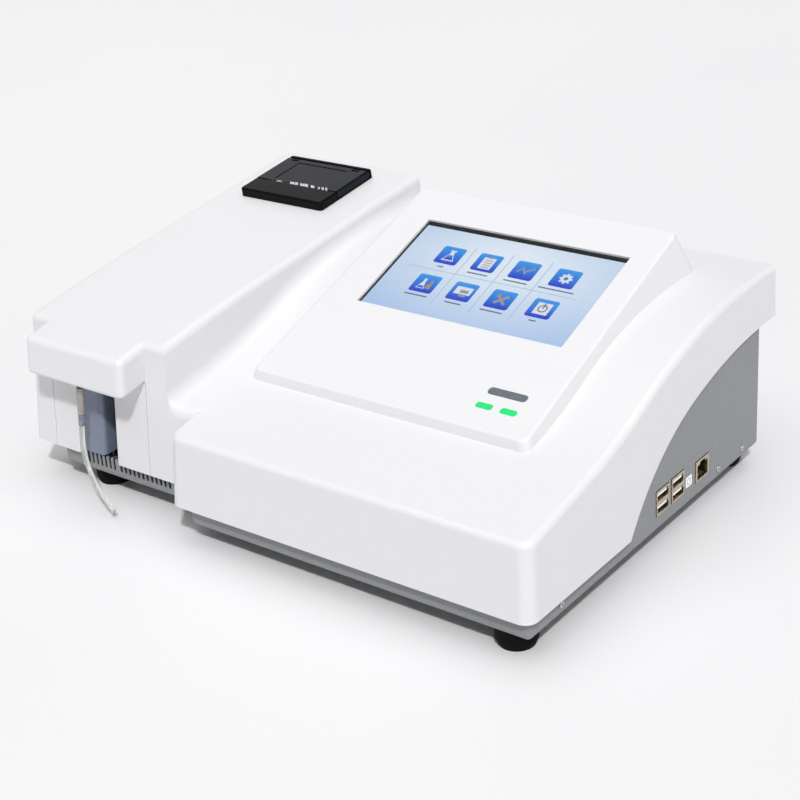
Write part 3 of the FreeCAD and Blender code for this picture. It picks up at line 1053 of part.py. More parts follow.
for x, y in board_holes:
    post = Part.makeCylinder(g.spacer_radius, g.spacer_height, V(x, y, tray_floor))
    spacers.append(post.cut(Part.makeCylinder(g.board_screw_radius, g.spacer_height, V(x, y, tray_floor))))
formed("spacers_and_nuts", compound_of(spacers + foot_nuts + side_nuts))
screws += [screw(V(x, y, board_top), (0, 0, -1), g.board_screw_radius - g.slip/2, g.spacer_height,
                 g.board_screw_head_radius, g.board_screw_head) for x, y in board_holes]
port_x = base_right + g.port_proud


def usb(y):
    shell = box_of(port_x - g.usb_depth, port_x, y, y + g.usb_width, board_top, board_top + g.usb_height)
    middle = y + g.usb_width/2
    mouths, tongues = [], []
    for level in (board_top + g.usb_mouth_edge, board_top + g.usb_height - g.usb_mouth_edge - g.usb_mouth_height):
        mouths.append(box_of(port_x - g.usb_mouth_depth, port_x + g.cut_over, middle - g.usb_mouth_width/2,
                             middle + g.usb_mouth_width/2, level, level + g.usb_mouth_height))
        top = level + g.usb_mouth_height - g.usb_tongue_sink
        tongues.append(box_of(port_x - g.usb_mouth_depth - g.usb_tongue_sink, port_x - g.usb_tongue_sink,
                              middle - g.usb_tongue_width/2, middle + g.usb_tongue_width/2, top - g.usb_tongue, top))
    return shell.cut(mouths), tongues


tongues, shells = [], []
for y in usb_y:
    shell, pair = usb(float(y))
    shells.append(shell)
    tongues += [t.cut(shell) for t in pair]
formed("usb_sockets", compound_of(shells))
formed("usb_tongues", compound_of(tongues))
ny = float(net_y)
middle = ny + g.net_width/2
net = box_of(port_x - g.net_depth, port_x, ny, ny + g.net_width, board_top, board_top + g.net_height)
nz = board_top + g.net_mouth_low
steps = [(g.net_mouth_width, 0.0, g.net_mouth_height), (g.net_notch_width, g.net_mouth_height, g.net_notch_height)]
net = net.cut([box_of(port_x - g.net_mouth_depth, port_x + g.cut_over, middle - width/2, middle + width/2,
                      nz + start, nz + start + height) for width, start, height in steps])
formed("network_socket", net)

# Rear fittings: mains inlet, rocker switch, fan with its guard, waste outlet
ry = base_rear - w


def front_box(x, z, width, height, ya, yb):
    return box_of(x - width/2, x + width/2, ya, yb, z - height/2, z + height/2)


ix, iz = inlet_x, g.fitting_level
inlet = front_box(ix, iz, g.inlet_flange_width, g.inlet_flange_height, ry, ry + g.inlet_flange)
inlet = rounded(inlet, g.inlet_flange_height/3, lambda e: e.BoundBox.YLength > g.inlet_flange - play)
inlet = inlet.fuse(front_box(ix, iz, g.inlet_body_width, g.inlet_body_height, ry - g.inlet_body_depth, ry))
mouth = front_box(ix, iz, g.inlet_mouth_width, g.inlet_mouth_height, ry + g.inlet_flange - g.inlet_mouth_depth,
                  ry + g.inlet_flange + g.cut_over)
mouth = mouth.makeChamfer(g.inlet_mouth_corner, [e for e in mouth.Edges if e.BoundBox.YLength > g.inlet_flange
                                                 and e.CenterOfMass.z > iz])
screw_x = [ix - g.inlet_screw_spacing/2, ix + g.inlet_screw_spacing/2]
inlet = inlet.cut([mouth] + [Part.makeCylinder(g.inlet_screw_radius + g.slip, g.inlet_flange*3,
                                               V(x, ry - g.inlet_flange, iz), V(0, 1, 0)) for x in screw_x])
pin_back = ry + g.inlet_flange - g.inlet_mouth_depth
pins = [front_box(ix + a*g.inlet_pin_spacing, iz + b*g.inlet_pin_step, g.inlet_pin_width, g.inlet_pin_height,
                  pin_back, pin_back + g.inlet_pin_length) for a, b in ((-1, -1), (0, 1), (1, -1))]
formed("mains_inlet", inlet.removeSplitter())
formed("inlet_pins", compound_of(pins))
screws += [screw(V(x, ry + g.inlet_flange, iz), (0, -1, 0), g.inlet_screw_radius, w*3, g.inlet_screw_head_radius,
                 g.wall_screw_head) for x in screw_x]
rx = rocker_x
frame = front_box(rx, iz, g.rocker_frame_width, g.rocker_frame_height, ry, ry + g.rocker_frame)
frame = frame.fuse(front_box(rx, iz, g.rocker_body_width, g.rocker_body_height, ry - g.rocker_body_depth, ry))
frame = frame.cut(front_box(rx, iz, g.rocker_cavity_width, g.rocker_cavity_height,
                            ry + g.rocker_frame - g.rocker_cavity_depth, ry + g.rocker_frame + g.cut_over))
stub = Part.makeCylinder(g.rocker_pin_radius, g.rocker_cavity_width, V(rx - g.rocker_cavity_width/2, ry, iz), V(1, 0, 0))
formed("rocker_frame", frame.fuse(stub).removeSplitter())
tilt = math.radians(g.rocker_angle)
reach = g.rocker_cavity_height/2 - g.rocker_play*2
rise_y = reach*math.tan(tilt)
rocker_top = g.rocker_frame + rise_y/2
profile = [V(0, rocker_top, 0), V(0, rocker_top + rise_y, reach), V(0, rocker_top + rise_y - g.rocker_thick, reach),
           V(0, -g.rocker_pin_radius*2, 0), V(0, rocker_top + rise_y - g.rocker_thick, -reach),
           V(0, rocker_top + rise_y, -reach), V(0, rocker_top, 0)]
rocker = Part.Face(Part.makePolygon(profile)).extrude(V(g.rocker_cavity_width - g.rocker_play*2, 0, 0))
rocker.translate(V(-g.rocker_cavity_width/2 + g.rocker_play, 0, 0))
rocker = rocker.common(Part.makeCylinder(reach, g.rocker_cavity_width, V(-g.rocker_cavity_width/2, 0, 0), V(1, 0, 0)))
rocker = rocker.cut(Part.makeCylinder(g.rocker_pin_radius + g.slip, g.rocker_cavity_width*2,
                                      V(-g.rocker_cavity_width, 0, 0), V(1, 0, 0)))
rocker.Placement = FreeCAD.Placement(V(rx, ry, iz), FreeCAD.Rotation(V(1, 0, 0), g.rocker_angle))
formed("rocker", rocker)

fz = g.fan_level
fan_y1 = ry - w
fan_y0 = fan_y1 - g.fan_depth
case = front_box(0, fz, g.fan_size, g.fan_size, fan_y0, fan_y1)
case = rounded(case, g.fan_back, lambda e: e.BoundBox.YLength > g.fan_depth - play)
duct = Part.makeCylinder(g.fan_bore_radius, g.fan_depth*3, V(0, fan_y0 - g.fan_depth, fz), V(0, 1, 0))
fan_hole_at = [(a*g.fan_hole_spacing/2, fz + b*g.fan_hole_spacing/2) for a in (-1, 1) for b in (-1, 1)]
case = case.cut([duct] + [Part.makeCylinder(g.fan_hole_radius, g.fan_depth*3, V(x, fan_y0 - g.fan_depth, z), V(0, 1, 0))
                          for x, z in fan_hole_at])
hub_seat = Part.makeCylinder(g.fan_hub_radius, g.fan_back, V(0, fan_y0, fz), V(0, 1, 0))
struts = [front_box(0, fz, g.fan_size - g.fan_back, g.fan_strut_width, fan_y0, fan_y0 + g.fan_back),
          front_box(0, fz, g.fan_strut_width, g.fan_size - g.fan_back, fan_y0, fan_y0 + g.fan_back)]
shaft = Part.makeCylinder(g.fan_shaft_radius, g.fan_depth/2, V(0, fan_y0, fz), V(0, 1, 0))
formed("fan_frame", case.fuse([hub_seat, shaft] + struts).removeSplitter())
hub_y0 = fan_y0 + g.fan_back + g.fit
hub = Part.makeCylinder(g.fan_hub_radius, g.fan_hub_depth, V(0, hub_y0, fz), V(0, 1, 0))
blades = []
for i in range(int(g.fan_blade_count)):
    blade = box_of(-g.fan_blade_gauge/2, g.fan_blade_gauge/2, -g.fan_depth/2, g.fan_depth/2,
                   g.fan_hub_radius - g.fan_back, g.fan_size/2)
    turn = FreeCAD.Rotation(V(0, 1, 0), 360*i/g.fan_blade_count).multiply(FreeCAD.Rotation(V(0, 0, 1), g.fan_blade_angle))
    blade.Placement = FreeCAD.Placement(V(0, hub_y0 + g.fan_hub_depth/2, fz), turn)
    blades.append(blade)
disc = Part.makeCylinder(g.fan_blade_radius, g.fan_hub_depth, V(0, hub_y0, fz), V(0, 1, 0))
rotor = hub.fuse([b.common(disc) for b in blades])
rotor = rotor.cut(Part.makeCylinder(g.fan_shaft_radius + g.slip, g.fan_depth/2 + g.slip*4, V(0, fan_y0, fz), V(0, 1, 0)))
formed("fan_rotor", rotor.removeSplitter())
wire = g.guard_wire_radius*2


def ring_of(radius):
    outer = Part.makeCylinder(radius, wire, V(0, ry, fz), V(0, 1, 0))
    return outer.cut(Part.makeCylinder(radius - wire, wire, V(0, ry, fz), V(0, 1, 0)))


rings = [ring_of(g.guard_ring_step*(i + 1)) for i in range(int(g.guard_ring_count))]
arm_length = math.hypot(g.fan_hole_spacing, g.fan_hole_spacing)
arms = []
for turn in (45, -45):
    arm = box_of(-arm_length/2, arm_length/2, 0, wire, -wire/2, wire/2)
    arm.Placement = FreeCAD.Placement(V(0, ry, fz), FreeCAD.Rotation(V(0, 1, 0), turn))
    arms.append(arm)
eyes = [Part.makeCylinder(g.fan_screw_head_radius, wire, V(x, ry, z), V(0, 1, 0)) for x, z in fan_hole_at]
guard = rings[0].fuse(rings[1:] + arms + eyes)
guard = guard.cut([Part.makeCylinder(g.fan_screw_radius + g.slip, g.fan_depth, V(x, ry - w, z), V(0, 1, 0))
                   for x, z in fan_hole_at])
formed("fan_guard", guard)
screws += [screw(V(x, ry + wire, z), (0, -1, 0), g.fan_screw_radius, g.fan_depth, g.fan_screw_head_radius,
                 g.fan_screw_head) for x, z in fan_hole_at]
formed("screws", compound_of(screws))
wx, wz = -g.waste_side, g.waste_level
barb = Part.makeCylinder(g.waste_flange_radius, g.waste_flange, V(wx, ry, wz), V(0, 1, 0))
barb = barb.fuse(Part.makeCylinder(g.barb_radius, g.waste_inner, V(wx, ry - g.waste_inner, wz), V(0, 1, 0)))
for i in range(int(g.barb_count)):
    barb = barb.fuse(Part.makeCone(g.barb_radius + g.barb_step, g.barb_radius - g.barb_step, g.barb_pitch,
                                   V(wx, ry + g.waste_flange + g.barb_pitch*i, wz), V(0, 1, 0)))
barb = barb.cut(Part.makeCylinder(g.waste_bore_radius, g.cover_width, V(wx, 0, wz), V(0, 1, 0)))
formed("waste_outlet", barb.removeSplitter())

# Power supply with a slotted top
sx0 = -g.supply_left
sy0 = fan_y0 - g.supply_gap - g.supply_depth
supply = box_of(sx0, sx0 + g.supply_width, sy0, sy0 + g.supply_depth, tray_floor, tray_floor + g.supply_height)
supply = rounded(supply, g.supply_edge, upright)
vent_x = sx0 + (g.supply_width - g.supply_vent_pitch*(g.supply_vent_count - 1) - g.supply_vent_width)/2
vent_y = sy0 + (g.supply_depth - g.supply_vent_length)/2
supply = supply.cut([box_of(vent_x + g.supply_vent_pitch*i, vent_x + g.supply_vent_pitch*i + g.supply_vent_width, vent_y,
                            vent_y + g.supply_vent_length, tray_floor + g.supply_height - g.supply_edge,
                            tray_floor + g.supply_height + g.cut_over) for i in range(int(g.supply_vent_count))])
formed("power_supply", supply)

# Optical bench: lamp, lens tube, filter wheel, flow cell and detector on one line
ox0, oy0 = -g.bench_left, -g.bench_front
plate_low = tray_floor + g.bench_stand
plate_top = plate_low + g.bench_thick
bench = box_of(ox0, ox0 + g.bench_width, oy0, oy0 + g.bench_depth, plate_low, plate_top)
ins = g.bench_pillar_inset
pillars = [Part.makeCylinder(g.bench_pillar_radius, g.bench_stand, V(x, y, tray_floor))
           for x in (ox0 + ins, ox0 + g.bench_width - ins) for y in (oy0 + ins, oy0 + g.bench_depth - ins)]
bench = bench.fuse(pillars)
bx, bz = -g.beam_side, g.beam_level


def beam(radius, ya, yb):
    return Part.makeCylinder(radius, yb - ya, V(bx, ya, bz), V(0, 1, 0))


ly0, ly1 = g.lamp_front, g.lamp_front + g.lamp_depth
lamp_box = box_of(bx - g.lamp_width/2, bx + g.lamp_width/2, ly0, ly1, plate_top, plate_top + g.lamp_height)
fins = [box_of(bx - g.lamp_width, bx + g.lamp_width, ly0 + g.lamp_fin_gap + g.lamp_fin_pitch*(i + 0.5),
               ly0 + g.lamp_fin_gap*2 + g.lamp_fin_pitch*(i + 0.5), plate_top + g.lamp_height - g.lamp_fin_cut,
               plate_top + g.lamp_height + g.cut_over) for i in range(int(g.lamp_fin_count))]
formed("lamp_housing", lamp_box.cut([beam(g.lamp_bore_radius, ly0 - g.cut_over, ly1 + g.cut_over)] + fins))
bulb = beam(g.lamp_radius, ly1 - g.lamp_length, ly1).fuse(beam(g.lamp_bore_radius, ly1 - g.lamp_fin_gap, ly1))
formed("lamp", bulb.removeSplitter())
lens_y0 = ly0 - g.lens_tube_gap
barrel = beam(g.lens_tube_radius, lens_y0, ly0).cut(beam(g.lens_tube_radius - g.lens_tube_wall, lens_y0 - g.cut_over, ly0 + g.cut_over))
disc = beam(g.lens_tube_radius - g.lens_tube_wall, lens_y0 + g.lens_tube_wall, lens_y0 + g.lens_tube_wall*3)
formed("lens_tube", compound_of([barrel, disc]))
wheel_x = bx + g.wheel_hole_pitch_radius
wheel = doc.addObject("PartDesign::Body", "Wheel")
round_pad = padded(wheel, "WheelPad", sketched(wheel, "WheelOutline", "XZ_Plane", [(g.wheel_radius*0, g.wheel_radius*0, g.wheel_radius)]),
                   g.wheel_thick)
hub_pad = padded(wheel, "WheelHub", sketched(wheel, "WheelHubOutline", "XZ_Plane", [(g.wheel_radius*0, g.wheel_radius*0, g.wheel_hub_radius)]),
                 g.wheel_thick + g.wheel_hub)
shaft_pad = padded(wheel, "WheelShaft", sketched(wheel, "WheelShaftOutline", "XZ_Plane", [(g.wheel_radius*0, g.wheel_radius*0, g.wheel_shaft_radius)]),
                   g.wheel_thick + g.wheel_shaft)
hole_sketch = sketched(wheel, "FilterHole", "XZ_Plane",
                       [(-g.wheel_hole_pitch_radius, g.wheel_radius*0, g.filter_radius + g.slip)], g.wheel_thick + g.cut_over)
filter_hole = pocketed(wheel, "FilterPocket", hole_sketch, g.wheel_thick + g.cut_over*2)
ringed(wheel, "FilterHoles", [filter_hole], (hole_sketch, ["N_Axis"]), g.filter_count)
wheel_y1 = g.wheel_front + g.wheel_thick
wheel.setExpression(".Placement.Base.x", (g.wheel_hole_pitch_radius - g.beam_side).text)
wheel.setExpression(".Placement.Base.y", wheel_y1.text)
wheel.setExpression(".Placement.Base.z", g.beam_level.text)
node("filter_wheel", wheel)
filters = []
for i in range(int(g.filter_count)):
    turn = math.pi*2*i/g.filter_count
    at = V(wheel_x - g.wheel_hole_pitch_radius*math.cos(turn), g.wheel_front + (g.wheel_thick - g.filter_thick)/2,
           bz + g.wheel_hole_pitch_radius*math.sin(turn))
    filters.append(Part.makeCylinder(g.filter_radius, g.filter_thick, at, V(0, 1, 0)))
formed("optical_filters", compound_of(filters))
mb_y1 = g.wheel_front - g.wheel_hub - g.fit
mb_y0 = mb_y1 - g.motor_bracket_gauge
bore_y = V(wheel_x, 0, bz)
stand = box_of(wheel_x - g.motor_bracket_width/2, wheel_x + g.motor_bracket_width/2, mb_y0, mb_y1, plate_top,
               plate_top + g.motor_bracket_height)
stand = rounded(stand, g.motor_radius/2, lambda e: e.BoundBox.YLength > g.motor_bracket_gauge - play
                and e.CenterOfMass.z > bz)
stand = stand.cut(Part.makeCylinder(g.wheel_hub_radius, g.cover_depth, bore_y, V(0, 1, 0)))
formed("optical_bench", bench.fuse(stand).removeSplitter())
motor = Part.makeCylinder(g.motor_radius, g.motor_length, V(wheel_x, mb_y0 - g.motor_length, bz), V(0, 1, 0))
motor = motor.cut(Part.makeCylinder(g.wheel_shaft_radius + g.slip, g.cover_depth, V(wheel_x, g.wheel_front - g.wheel_shaft - g.fit, bz), V(0, 1, 0)))
formed("filter_motor", motor)
cy0, cy1 = g.cell_block_front, g.cell_block_front + g.cell_block_depth
cell_y = (cy0 + cy1)/2
holder = box_of(bx - g.cell_block_width/2, bx + g.cell_block_width/2, cy0, cy1, plate_top, plate_top + g.cell_block_height)
cell_z0 = plate_top + g.cell_low - g.cell_block_height/4
side_half = g.cell_size/2
cell_z1 = plate_top + g.cell_block_height + g.cell_port_height
pocket = box_of(bx - side_half - play, bx + side_half + play, cell_y - side_half - play, cell_y + side_half + play,
                cell_z0, cell_z1 + g.cut_over)
formed("cell_block", holder.cut([pocket, beam(g.beam_radius, cy0 - g.cut_over, cy1 + g.cut_over)]))
cuvette = box_of(bx - side_half, bx + side_half, cell_y - side_half, cell_y + side_half, cell_z0, cell_z1)
ports = [Part.makeCylinder(g.cell_port_radius, g.cell_port_height, V(bx + a*g.cell_port/2, cell_y, cell_z1)) for a in (-1, 1)]
formed("flow_cell", cuvette.fuse(ports).removeSplitter())
sensor = box_of(bx - g.cell_block_width/2, bx + g.cell_block_width/2, cy0 - g.detector_depth, cy0, plate_top,
                plate_top + g.detector_height)
formed("light_detector", sensor.cut(beam(g.beam_radius, cy0 - g.detector_depth/2, cy0 + g.cut_over)))

# Sampling pump: motor, bracket, head with three rollers that squeeze the tube
py, pz, px = -g.pump_middle, g.pump_level, -g.pump_face
size = g.pump_motor_size
stepper = box_of(px - g.pump_motor_length, px, py - size/2, py + size/2, pz - size/2, pz + size/2)
stepper = rounded(stepper, g.pump_motor_radius, lambda e: e.BoundBox.XLength > g.pump_motor_length - play)
axis_x = V(1, 0, 0)


def across(radius, xa, xb, y=None, z=None):
    return Part.makeCylinder(radius, xb - xa, V(xa, py if y is None else y, pz if z is None else z), axis_x)


formed("pump_motor", stepper.cut(across(g.pump_shaft_radius + g.slip, px - g.pump_shaft, px + g.cut_over)))
ear = g.pump_bracket_gauge
upright_plate = box_of(px, px + ear, py - g.pump_head_side, py + g.pump_head_side, tray_floor, tray_floor + g.pump_bracket_height)
foot_plate = box_of(px - g.pump_bracket_foot, px, py - g.pump_head_side, py + g.pump_head_side, tray_floor, tray_floor + ear)
formed("pump_bracket", upright_plate.fuse(foot_plate).removeSplitter().cut(across(g.pump_hub_radius, px - ear, px + ear*2)))
hx0 = px + ear
hx1 = hx0 + g.pump_head_depth
head_z1 = tray_floor + g.pump_bracket_height
casing = box_of(hx0, hx1, py - g.pump_head_side, py + g.pump_head_side, pz - g.pump_head_bore_radius - g.pump_arm_thick, head_z1)
casing = rounded(casing, g.pump_head_bore_radius/2, lambda e: e.BoundBox.XLength > g.pump_head_depth - play and e.CenterOfMass.z < pz)
inner_x = hx0 + g.pump_head_back
casing = casing.cut([across(g.pump_head_bore_radius, inner_x, hx1 + g.cut_over),
                     across(g.pump_hub_radius, hx0 - g.cut_over, hx1)] +
                    [box_of(inner_x, hx1 + g.cut_over, py + a*g.pump_loop_radius - g.pump_slot_width/2,
                            py + a*g.pump_loop_radius + g.pump_slot_width/2, pz, head_z1 + g.cut_over) for a in (-1, 1)])
formed("pump_head", casing)
arm_x0 = inner_x + g.fit
roller_x0 = arm_x0 + g.pump_arm_thick + g.fit
roller_x1 = roller_x0 + g.pump_roller_length
arm_x1 = roller_x1 + g.fit
spider = across(g.pump_arm_radius, arm_x0, arm_x0 + g.pump_arm_thick)
spider = spider.fuse([across(g.pump_arm_radius, arm_x1, arm_x1 + g.pump_arm_thick),
                      across(g.pump_hub_radius, arm_x0, arm_x1 + g.pump_arm_thick),
                      across(g.pump_shaft_radius, px - g.pump_shaft + g.fit, arm_x1)])
orbit = [(py + g.pump_roller_orbit*math.cos(a), pz + g.pump_roller_orbit*math.sin(a))
         for a in [math.pi*2*i/3 - math.pi/2 for i in range(3)]]
spider = spider.fuse([across(g.pump_roller_pin_radius, arm_x0, arm_x1 + g.pump_arm_thick, y, z) for y, z in orbit])
formed("pump_rotor", spider.removeSplitter())
for label, (y, z) in zip(("pump_roller_a", "pump_roller_b", "pump_roller_c"), orbit):
    roller = across(g.pump_roller_radius, roller_x0, roller_x1, y, z)
    formed(label, roller.cut(across(g.pump_roller_pin_radius + g.slip, roller_x0 - g.cut_over, roller_x1 + g.cut_over, y, z)))

# Inner tubes: sipper to flow cell, and flow cell through the pump to the waste outlet
tube_x = (roller_x0 + roller_x1)/2
port_z = cell_z1 + g.cell_port_height
ceiling = port_z + g.tube_bend*2
start = sip_top - down*g.cap_flange
sample_tube = tube([tuple(start), tuple(start - down*g.tube_bend), (bx - g.cell_port/2 + g.cell_port, front/2, ceiling),
                            (bx - g.cell_port/2, cell_y - g.tube_bend*2, ceiling), (bx - g.cell_port/2, cell_y, ceiling),
                            (bx - g.cell_port/2, cell_y, port_z)], g.inner_tube_radius, g.tube_bend, "sample tube")
loop = g.pump_loop_radius
pump_low = pz - loop
top_z = head_z1 + g.tube_bend
pump_tube = tube([(bx + g.cell_port/2, cell_y, port_z), (bx + g.cell_port/2, cell_y, ceiling - g.tube_bend/2),
                          (bx + g.bench_width/2, py/4, ceiling - g.tube_bend), (main_left, py*0.9, top_z + g.tube_bend/3),
                          (tube_x - g.tube_bend, py - loop, top_z + g.tube_bend/3), (tube_x, py - loop, top_z - g.tube_bend/2),
                          (tube_x, py - loop, pump_low), (tube_x, py + loop, pump_low), (tube_x, py + loop, top_z),
                          (-g.supply_left/2, -g.tube_bend, top_z + g.tube_bend), (wx, sy0, top_z + g.tube_bend/2),
                          (wx, ry - g.waste_inner*4, wz), (wx, ry - g.waste_inner, wz)],
                         g.inner_tube_radius, g.pump_loop_radius*0.999, "pump tube")
formed("inner_tubes", compound_of([sample_tube, pump_tube]))

doc.recompute()
faults = [o.Name for o in doc.Objects if {"Invalid", "Error"} & set(o.State)]
for piece in nodes:
    if piece.Shape.isNull() or not piece.Shape.isValid() or not piece.Shape.Solids:
        faults.append(piece.Label)
if faults:
    raise RuntimeError("not built: " + ", ".join(faults))
os.makedirs("parts", exist_ok=True)
for piece in nodes:
    piece.Shape.exportStep("parts/" + piece.Label + ".step")
print(len(nodes), "nodes")
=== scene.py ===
import math

import bpy
from mathutils import Matrix, Vector


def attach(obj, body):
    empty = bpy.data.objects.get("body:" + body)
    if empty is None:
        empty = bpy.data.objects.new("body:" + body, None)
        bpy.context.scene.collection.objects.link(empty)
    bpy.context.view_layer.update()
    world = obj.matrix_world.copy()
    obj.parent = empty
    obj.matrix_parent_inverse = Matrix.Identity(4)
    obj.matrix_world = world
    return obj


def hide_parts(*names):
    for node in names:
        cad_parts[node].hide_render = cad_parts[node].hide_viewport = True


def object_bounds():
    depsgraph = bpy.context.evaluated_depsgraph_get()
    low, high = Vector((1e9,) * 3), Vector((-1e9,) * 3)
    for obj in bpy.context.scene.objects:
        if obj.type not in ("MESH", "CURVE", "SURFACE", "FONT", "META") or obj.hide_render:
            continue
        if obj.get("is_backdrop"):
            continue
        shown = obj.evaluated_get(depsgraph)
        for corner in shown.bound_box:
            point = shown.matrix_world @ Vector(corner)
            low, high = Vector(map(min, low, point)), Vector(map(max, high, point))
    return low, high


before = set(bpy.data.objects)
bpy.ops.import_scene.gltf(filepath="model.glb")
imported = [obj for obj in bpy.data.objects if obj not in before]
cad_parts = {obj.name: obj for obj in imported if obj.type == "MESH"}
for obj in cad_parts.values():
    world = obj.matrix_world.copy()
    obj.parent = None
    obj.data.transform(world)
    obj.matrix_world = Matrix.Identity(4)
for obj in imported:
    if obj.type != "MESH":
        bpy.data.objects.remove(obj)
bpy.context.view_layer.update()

# The instrument is seen from the right, above the operator's place, on a plain pale bench top, one wide sheet with
# a soft sheen. The studio is pale at eye level and darker overhead. Soft lights come from the front right and from
# above, and a faint one from behind gives what is black and glossy its sheen.
camera_data = bpy.data.cameras.new("camera")
camera_data.lens = 76.56
camera_data.sensor_width = 36
camera_data.shift_x = -0.00824
camera_data.shift_y = -0.04395
camera = bpy.data.objects.new("camera", camera_data)
bpy.context.scene.collection.objects.link(camera)
bpy.context.scene.camera = camera
turn, tilt, roll = math.radians(38.56), math.radians(24.30), math.radians(-3.95)
right = Vector((math.cos(turn), math.sin(turn), 0))
back = Vector((math.sin(turn) * math.cos(tilt), -math.cos(turn) * math.cos(tilt), math.sin(tilt)))
up = back.cross(right)
rolled_right = right * math.cos(roll) + up * math.sin(roll)
rolled_up = up * math.cos(roll) - right * math.sin(roll)
viewpoint = (0.6130, -0.7470, 0.5081)
camera.matrix_world = Matrix([*zip(rolled_right, rolled_up, back, viewpoint), (0, 0, 0, 1)])
bpy.context.scene.view_settings.view_transform = "Standard"


def linear(hex_colour):
    """The linear RGBA of an sRGB hex colour."""
    parts = [int(hex_colour[i:i + 2], 16) / 255 for i in (1, 3, 5)]
    return [p / 12.92 if p < 0.04045 else ((p + 0.055) / 1.055) ** 2.4 for p in parts] + [1]


def add(material, kind, inputs=None, **settings):
    """Adds one node to a material, with its settings, and its inputs as values or as links."""
    made = material.node_tree.nodes.new(kind)
    for name, value in settings.items():
        setattr(made, name, value)
    for name, value in (inputs or {}).items():
        if isinstance(value, bpy.types.NodeSocket):
            material.node_tree.links.new(value, made.inputs[name])
        else:
            made.inputs[name].default_value = value
    return made


def finish(name, colour, roughness, metallic=0.0):
    """A new material with its colour, roughness and metal set on the surface shader, and the shader."""
    material = bpy.data.materials.new(name)
    material.use_nodes = True
    shader = material.node_tree.nodes["Principled BSDF"]
    shader.inputs["Base Color"].default_value = linear(colour)
    shader.inputs["Roughness"].default_value = roughness
    shader.inputs["Metallic"].default_value = metallic
    return material, shader


def mottle(material, shader, dark, light, size_mm, low, high, bump_mm=0.0, detail=4.0):
    """Cloudy change of colour and roughness at a real size, with the relief of the surface's grain."""
    place = add(material, "ShaderNodeTexCoord").outputs["Object"]
    noise = add(material, "ShaderNodeTexNoise", {"Vector": place, "Scale": 1000 / size_mm, "Detail": detail})
    ramp = add(material, "ShaderNodeValToRGB", {"Fac": noise.outputs["Fac"]})
    ramp.color_ramp.elements[0].position = 0.3
    ramp.color_ramp.elements[0].color = linear(dark)
    ramp.color_ramp.elements[1].position = 0.7
    ramp.color_ramp.elements[1].color = linear(light)
    material.node_tree.links.new(ramp.outputs["Color"], shader.inputs["Base Color"])
    sheen = add(material, "ShaderNodeMapRange", {"Value": noise.outputs["Fac"], "To Min": low, "To Max": high})
    material.node_tree.links.new(sheen.outputs["Result"], shader.inputs["Roughness"])
    if bump_mm:
        relief = add(material, "ShaderNodeBump", {"Height": noise.outputs["Fac"], "Distance": bump_mm / 1000})
        material.node_tree.links.new(relief.outputs["Normal"], shader.inputs["Normal"])


def dress(material, *names):
    """Puts a material on CAD nodes."""
    for name in names:
        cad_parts[name].data.materials.clear()
        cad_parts[name].data.materials.append(material)


bpy.ops.object.select_all(action="DESELECT")
bpy.ops.mesh.primitive_plane_add(size=60, location=(0, 0, 0))
bench = bpy.context.object
bench.name = "bench_top"
laminate, laminate_shader = finish("high-pressure laminate, satin white", "#dfdfe0", 0.5)
mottle(laminate, laminate_shader, "#dddddf", "#e1e1e2", 900, 0.48, 0.55)
bench.data.materials.append(laminate)
bench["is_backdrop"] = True

world = bpy.data.worlds.new("studio")
bpy.context.scene.world = world
world.use_nodes = True
sky_side = add(world, "ShaderNodeSeparateXYZ", {"Vector": add(world, "ShaderNodeTexCoord").outputs["Generated"]})
sky_ramp = add(world, "ShaderNodeValToRGB", {"Fac": sky_side.outputs["Z"]})
sky_ramp.color_ramp.elements[0].color = linear("#eeeeee")
sky_ramp.color_ramp.elements[1].position = 0.5
sky_ramp.color_ramp.elements[1].color = linear("#5a5a5a")
sky_ramp.color_ramp.elements.new(0.25).color = linear("#bcbcbc")
world.node_tree.links.new(sky_ramp.outputs["Color"], world.node_tree.nodes["Background"].inputs["Color"])


def soft_light(name, toward, strength, spread):
    """A far studio light: the direction it shines in, its strength and its spread in degrees."""
    data = bpy.data.lights.new(name, "SUN")
    data.energy = strength
    data.angle = math.radians(spread)
    lamp = bpy.data.objects.new(name, data)
    bpy.context.scene.collection.objects.link(lamp)
    lamp.rotation_mode = "QUATERNION"
    lamp.rotation_quaternion = Vector(toward).to_track_quat("-Z", "Y")


soft_light("light_key", (-0.439, 0.488, -0.755), 2.1, 4)
soft_light("light_right", (-0.68, 0.1, -0.7), 0.35, 45)
soft_light("light_over", (0.05, 0.1, -1), 1.54, 70)
soft_light("light_sheen", (0.568, -0.590, -0.574), 0.15, 31)

# The sipper tube is clear silicone tube of 3.2 mm, cut square at its end. It hangs from the clear joint in front
# of the key, and its own curl, from the reel, swings it to the right and forward, down to just above the bench.
sipper_route = [
    (-0.1416, -0.1274, 0.0515),
    (-0.1422, -0.1283, 0.0432),
    (-0.1407, -0.1300, 0.0345),
    (-0.1369, -0.1320, 0.0267),
    (-0.1305, -0.1345, 0.0190),
    (-0.1215, -0.1375, 0.0124),
    (-0.1079, -0.1410, 0.0061),
]
sipper_curve = bpy.data.curves.new("sipper_hose", "CURVE")
sipper_curve.dimensions = "3D"
sipper_line = sipper_curve.splines.new("NURBS")
sipper_line.points.add(len(sipper_route) - 1)
for point, place in zip(sipper_line.points, sipper_route):
    point.co = (*place, 1)
sipper_line.order_u = 3
sipper_line.use_endpoint_u = True
sipper_line.resolution_u = 16
sipper_curve.bevel_depth = 0.0016
sipper_curve.bevel_resolution = 6
sipper_curve.use_fill_caps = True
sipper_hose = bpy.data.objects.new("sipper_hose", sipper_curve)
bpy.context.scene.collection.objects.link(sipper_hose)
silicone, silicone_shader = finish("extruded silicone tube, clear", "#f0efec", 0.12)
silicone_shader.inputs["Transmission Weight"].default_value = 0.72
